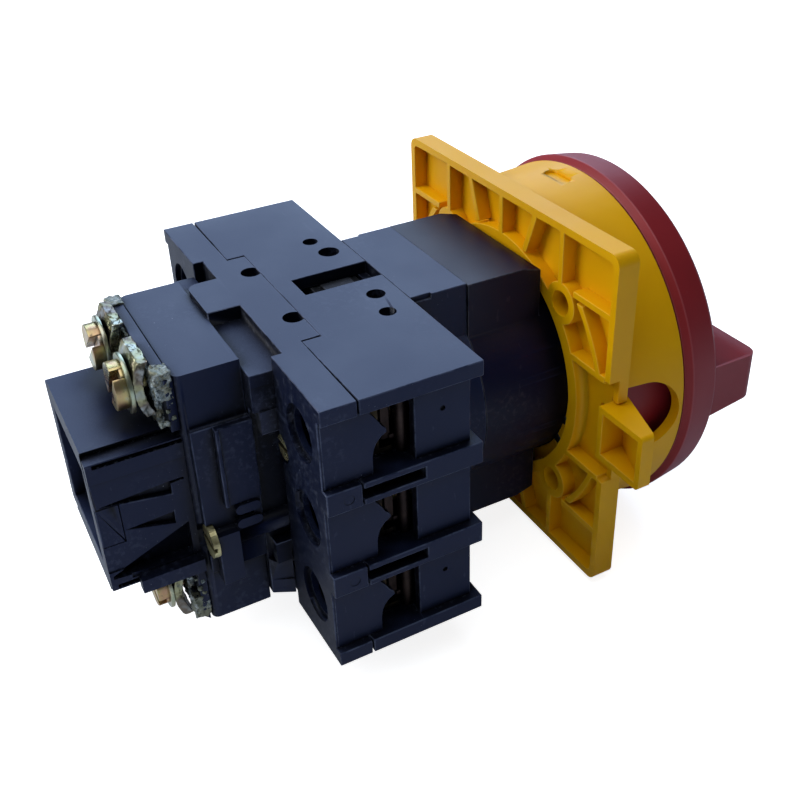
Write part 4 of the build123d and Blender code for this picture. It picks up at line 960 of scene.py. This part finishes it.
shapes = {
    "barrel": raise_hump,
    "contact_housing": front_shell,
    "rear_housing": rear_shell,
    "aux_cover": line_cover,
    "aux_base": aux_ledges,
    "aux_fixing_screws": thin_heads,
    "side_latch_near": hook_ribs(-1),
    "side_latch_far": hook_ribs(1),
}
looks = {
    "neck_housing": materials["black_plastic"],
    "body_screws": glint_lit_screw_zinc,
    "aux_fixing_screws": glint_lit_screw_zinc,
}
plastic_nodes = [
    "front_plate", "padlock_slide", "knob", "screw_cap", "barrel", "neck_housing", "contact_housing",
    "rear_housing", "aux_base", "aux_cover", "side_latch_near", "side_latch_far",
]
metal_nodes = ["body_screws", "aux_fixing_screws", "terminal_screws"]

for name, node in nodes.items():
    for slot in node.material_slots:
        slot.material = materials[slots[name]]
for name in plastic_nodes:
    dressed(name, PLASTIC_ROUND, material=looks.get(name), shape=shapes.get(name))
dressed("contact_carrier", PLASTIC_ROUND, material=dusty_plastic, shape=sink_lug)
for name in metal_nodes:
    dressed(name, METAL_ROUND, material=looks.get(name), shape=shapes.get(name))

pole_ends = [(side, z) for z in POLES for side in (-1, 1)]
for number, (side, z) in enumerate(pole_ends, 1):
    dressed(f"fixed_contact_{number}", METAL_ROUND, material=dull_shaded_brass, shape=add_rod(side, z))
    dressed(f"wire_clamp_{number}", METAL_ROUND, material=clamp_zinc)

terminal_hardware()
terminal_ends = [(x_side, z_side) for z_side in (-1, 1) for x_side in (-1, 1)]
for number, (x_side, z_side) in enumerate(terminal_ends, 1):
    dressed(f"aux_saddle_{number}", METAL_ROUND, material=saddle_zinc, shape=seat_saddle,
            lumps=SADDLE_LUMPS)
    dressed(f"aux_contact_{number}", METAL_ROUND, material=corroded, shape=crust(x_side, z_side),
            lumps=CRUST_LUMPS)


# Studio, in metres and degrees

CAMERA_AT = (-0.12993, 0.08574, 0.09375)
CAMERA_TURN = (59.085, 2.205, -117.785)
CAMERA_LENS = 46.50
CAMERA_SENSOR = 36
CAMERA_SHIFT = (0.01235, -0.0653)
CAMERA_CLIP = 0.001
LIGHT_AIM = (0, 0.025, 0)
AMBIENT_COLOUR = (0.86, 0.92, 1.0, 1)
WHITE = (1, 1, 1, 1)
FLOOR_HALF = 4.0
FLOOR_GAP = 0.1 * MM
FLOOR_BOUNCE = (0.80, 0.84, 0.90, 1)
FLOOR_SEEN = (0.86, 0.87, 0.89, 1)
FLOOR_ROUGHNESS = 0.9
FLOOR_GLOW = 0.86


def make_camera():
    """Camera at the photograph's viewing angle."""
    data = bpy.data.cameras.new("camera")
    data.sensor_width = CAMERA_SENSOR
    data.lens = CAMERA_LENS
    data.shift_x, data.shift_y = CAMERA_SHIFT
    data.clip_start = CAMERA_CLIP
    camera = bpy.data.objects.new("camera", data)
    camera.location = CAMERA_AT
    camera.rotation_euler = [math.radians(angle) for angle in CAMERA_TURN]
    bpy.context.scene.collection.objects.link(camera)
    bpy.context.scene.camera = camera


def area_light(name, place, size, power, colour=(1, 1, 1)):
    """Square soft light aimed at the middle of the switch."""
    data = bpy.data.lights.new(name, "AREA")
    data.shape = "SQUARE"
    data.size = size
    data.energy = power
    data.color = colour
    light = bpy.data.objects.new(name, data)
    light.location = place
    light.rotation_euler = (Vector(LIGHT_AIM) - Vector(place)).to_track_quat("-Z", "Y").to_euler()
    bpy.context.scene.collection.objects.link(light)


def make_world(seen, ambient):
    """White to the camera, and a dimmer cool light on the object."""
    world = bpy.data.worlds.new("studio")
    world.use_nodes = True
    tree = world.node_tree
    dim = tree.nodes["Background"]
    dim.inputs["Color"].default_value = AMBIENT_COLOUR
    dim.inputs["Strength"].default_value = ambient
    white = tree.nodes.new("ShaderNodeBackground")
    white.inputs["Color"].default_value = WHITE
    white.inputs["Strength"].default_value = seen
    path = tree.nodes.new("ShaderNodeLightPath")
    both = tree.nodes.new("ShaderNodeMixShader")
    tree.links.new(path.outputs["Is Camera Ray"], both.inputs["Fac"])
    tree.links.new(dim.outputs["Background"], both.inputs[1])
    tree.links.new(white.outputs["Background"], both.inputs[2])
    tree.links.new(both.outputs["Shader"], tree.nodes["World Output"].inputs["Surface"])
    bpy.context.scene.world = world


def floor_material():
    """Pale floor that glows to the camera, so that it fades into the white behind it."""
    material = bpy.data.materials.new("floor")
    material.use_nodes = True
    tree = material.node_tree
    shader = tree.nodes["Principled BSDF"]
    shader.inputs["Roughness"].default_value = FLOOR_ROUGHNESS
    shader.inputs["Emission Color"].default_value = WHITE
    path = tree.nodes.new("ShaderNodeLightPath")
    tone = tree.nodes.new("ShaderNodeMix")
    tone.data_type = "RGBA"
    tone.inputs["A"].default_value = FLOOR_BOUNCE
    tone.inputs["B"].default_value = FLOOR_SEEN
    tree.links.new(path.outputs["Is Camera Ray"], tone.inputs["Factor"])
    tree.links.new(tone.outputs["Result"], shader.inputs["Base Color"])
    glow = tree.nodes.new("ShaderNodeMath")
    glow.operation = "MULTIPLY"
    glow.inputs[1].default_value = FLOOR_GLOW
    tree.links.new(path.outputs["Is Camera Ray"], glow.inputs[0])
    tree.links.new(glow.outputs["Value"], shader.inputs["Emission Strength"])
    return material


def make_floor(level):
    """Wide pale floor under the lowest point of the switch."""
    signs = ((-1, -1), (1, -1), (1, 1), (-1, 1))
    corners = [(x * FLOOR_HALF, y * FLOOR_HALF, level) for x, y in signs]
    mesh = bpy.data.meshes.new("floor")
    mesh.from_pydata(corners, [], [(0, 1, 2, 3)])
    mesh.materials.append(floor_material())
    floor = bpy.data.objects.new("floor", mesh)
    bpy.context.scene.collection.objects.link(floor)


bpy.context.scene.view_settings.view_transform = "Standard"
make_camera()
make_world(seen=1.0, ambient=0.05)
make_floor(level=cad_box[0][2] - FLOOR_GAP)
area_light("sky", place=(-0.05, 0.20, 0.75), size=0.8, power=3.2, colour=(0.90, 0.95, 1.0))
area_light("back", place=(0.80, -0.40, 0.60), size=0.9, power=7.4, colour=(0.55, 0.72, 1.0))
area_light("rear", place=(0.45, 0.75, 0.50), size=0.5, power=5.4)
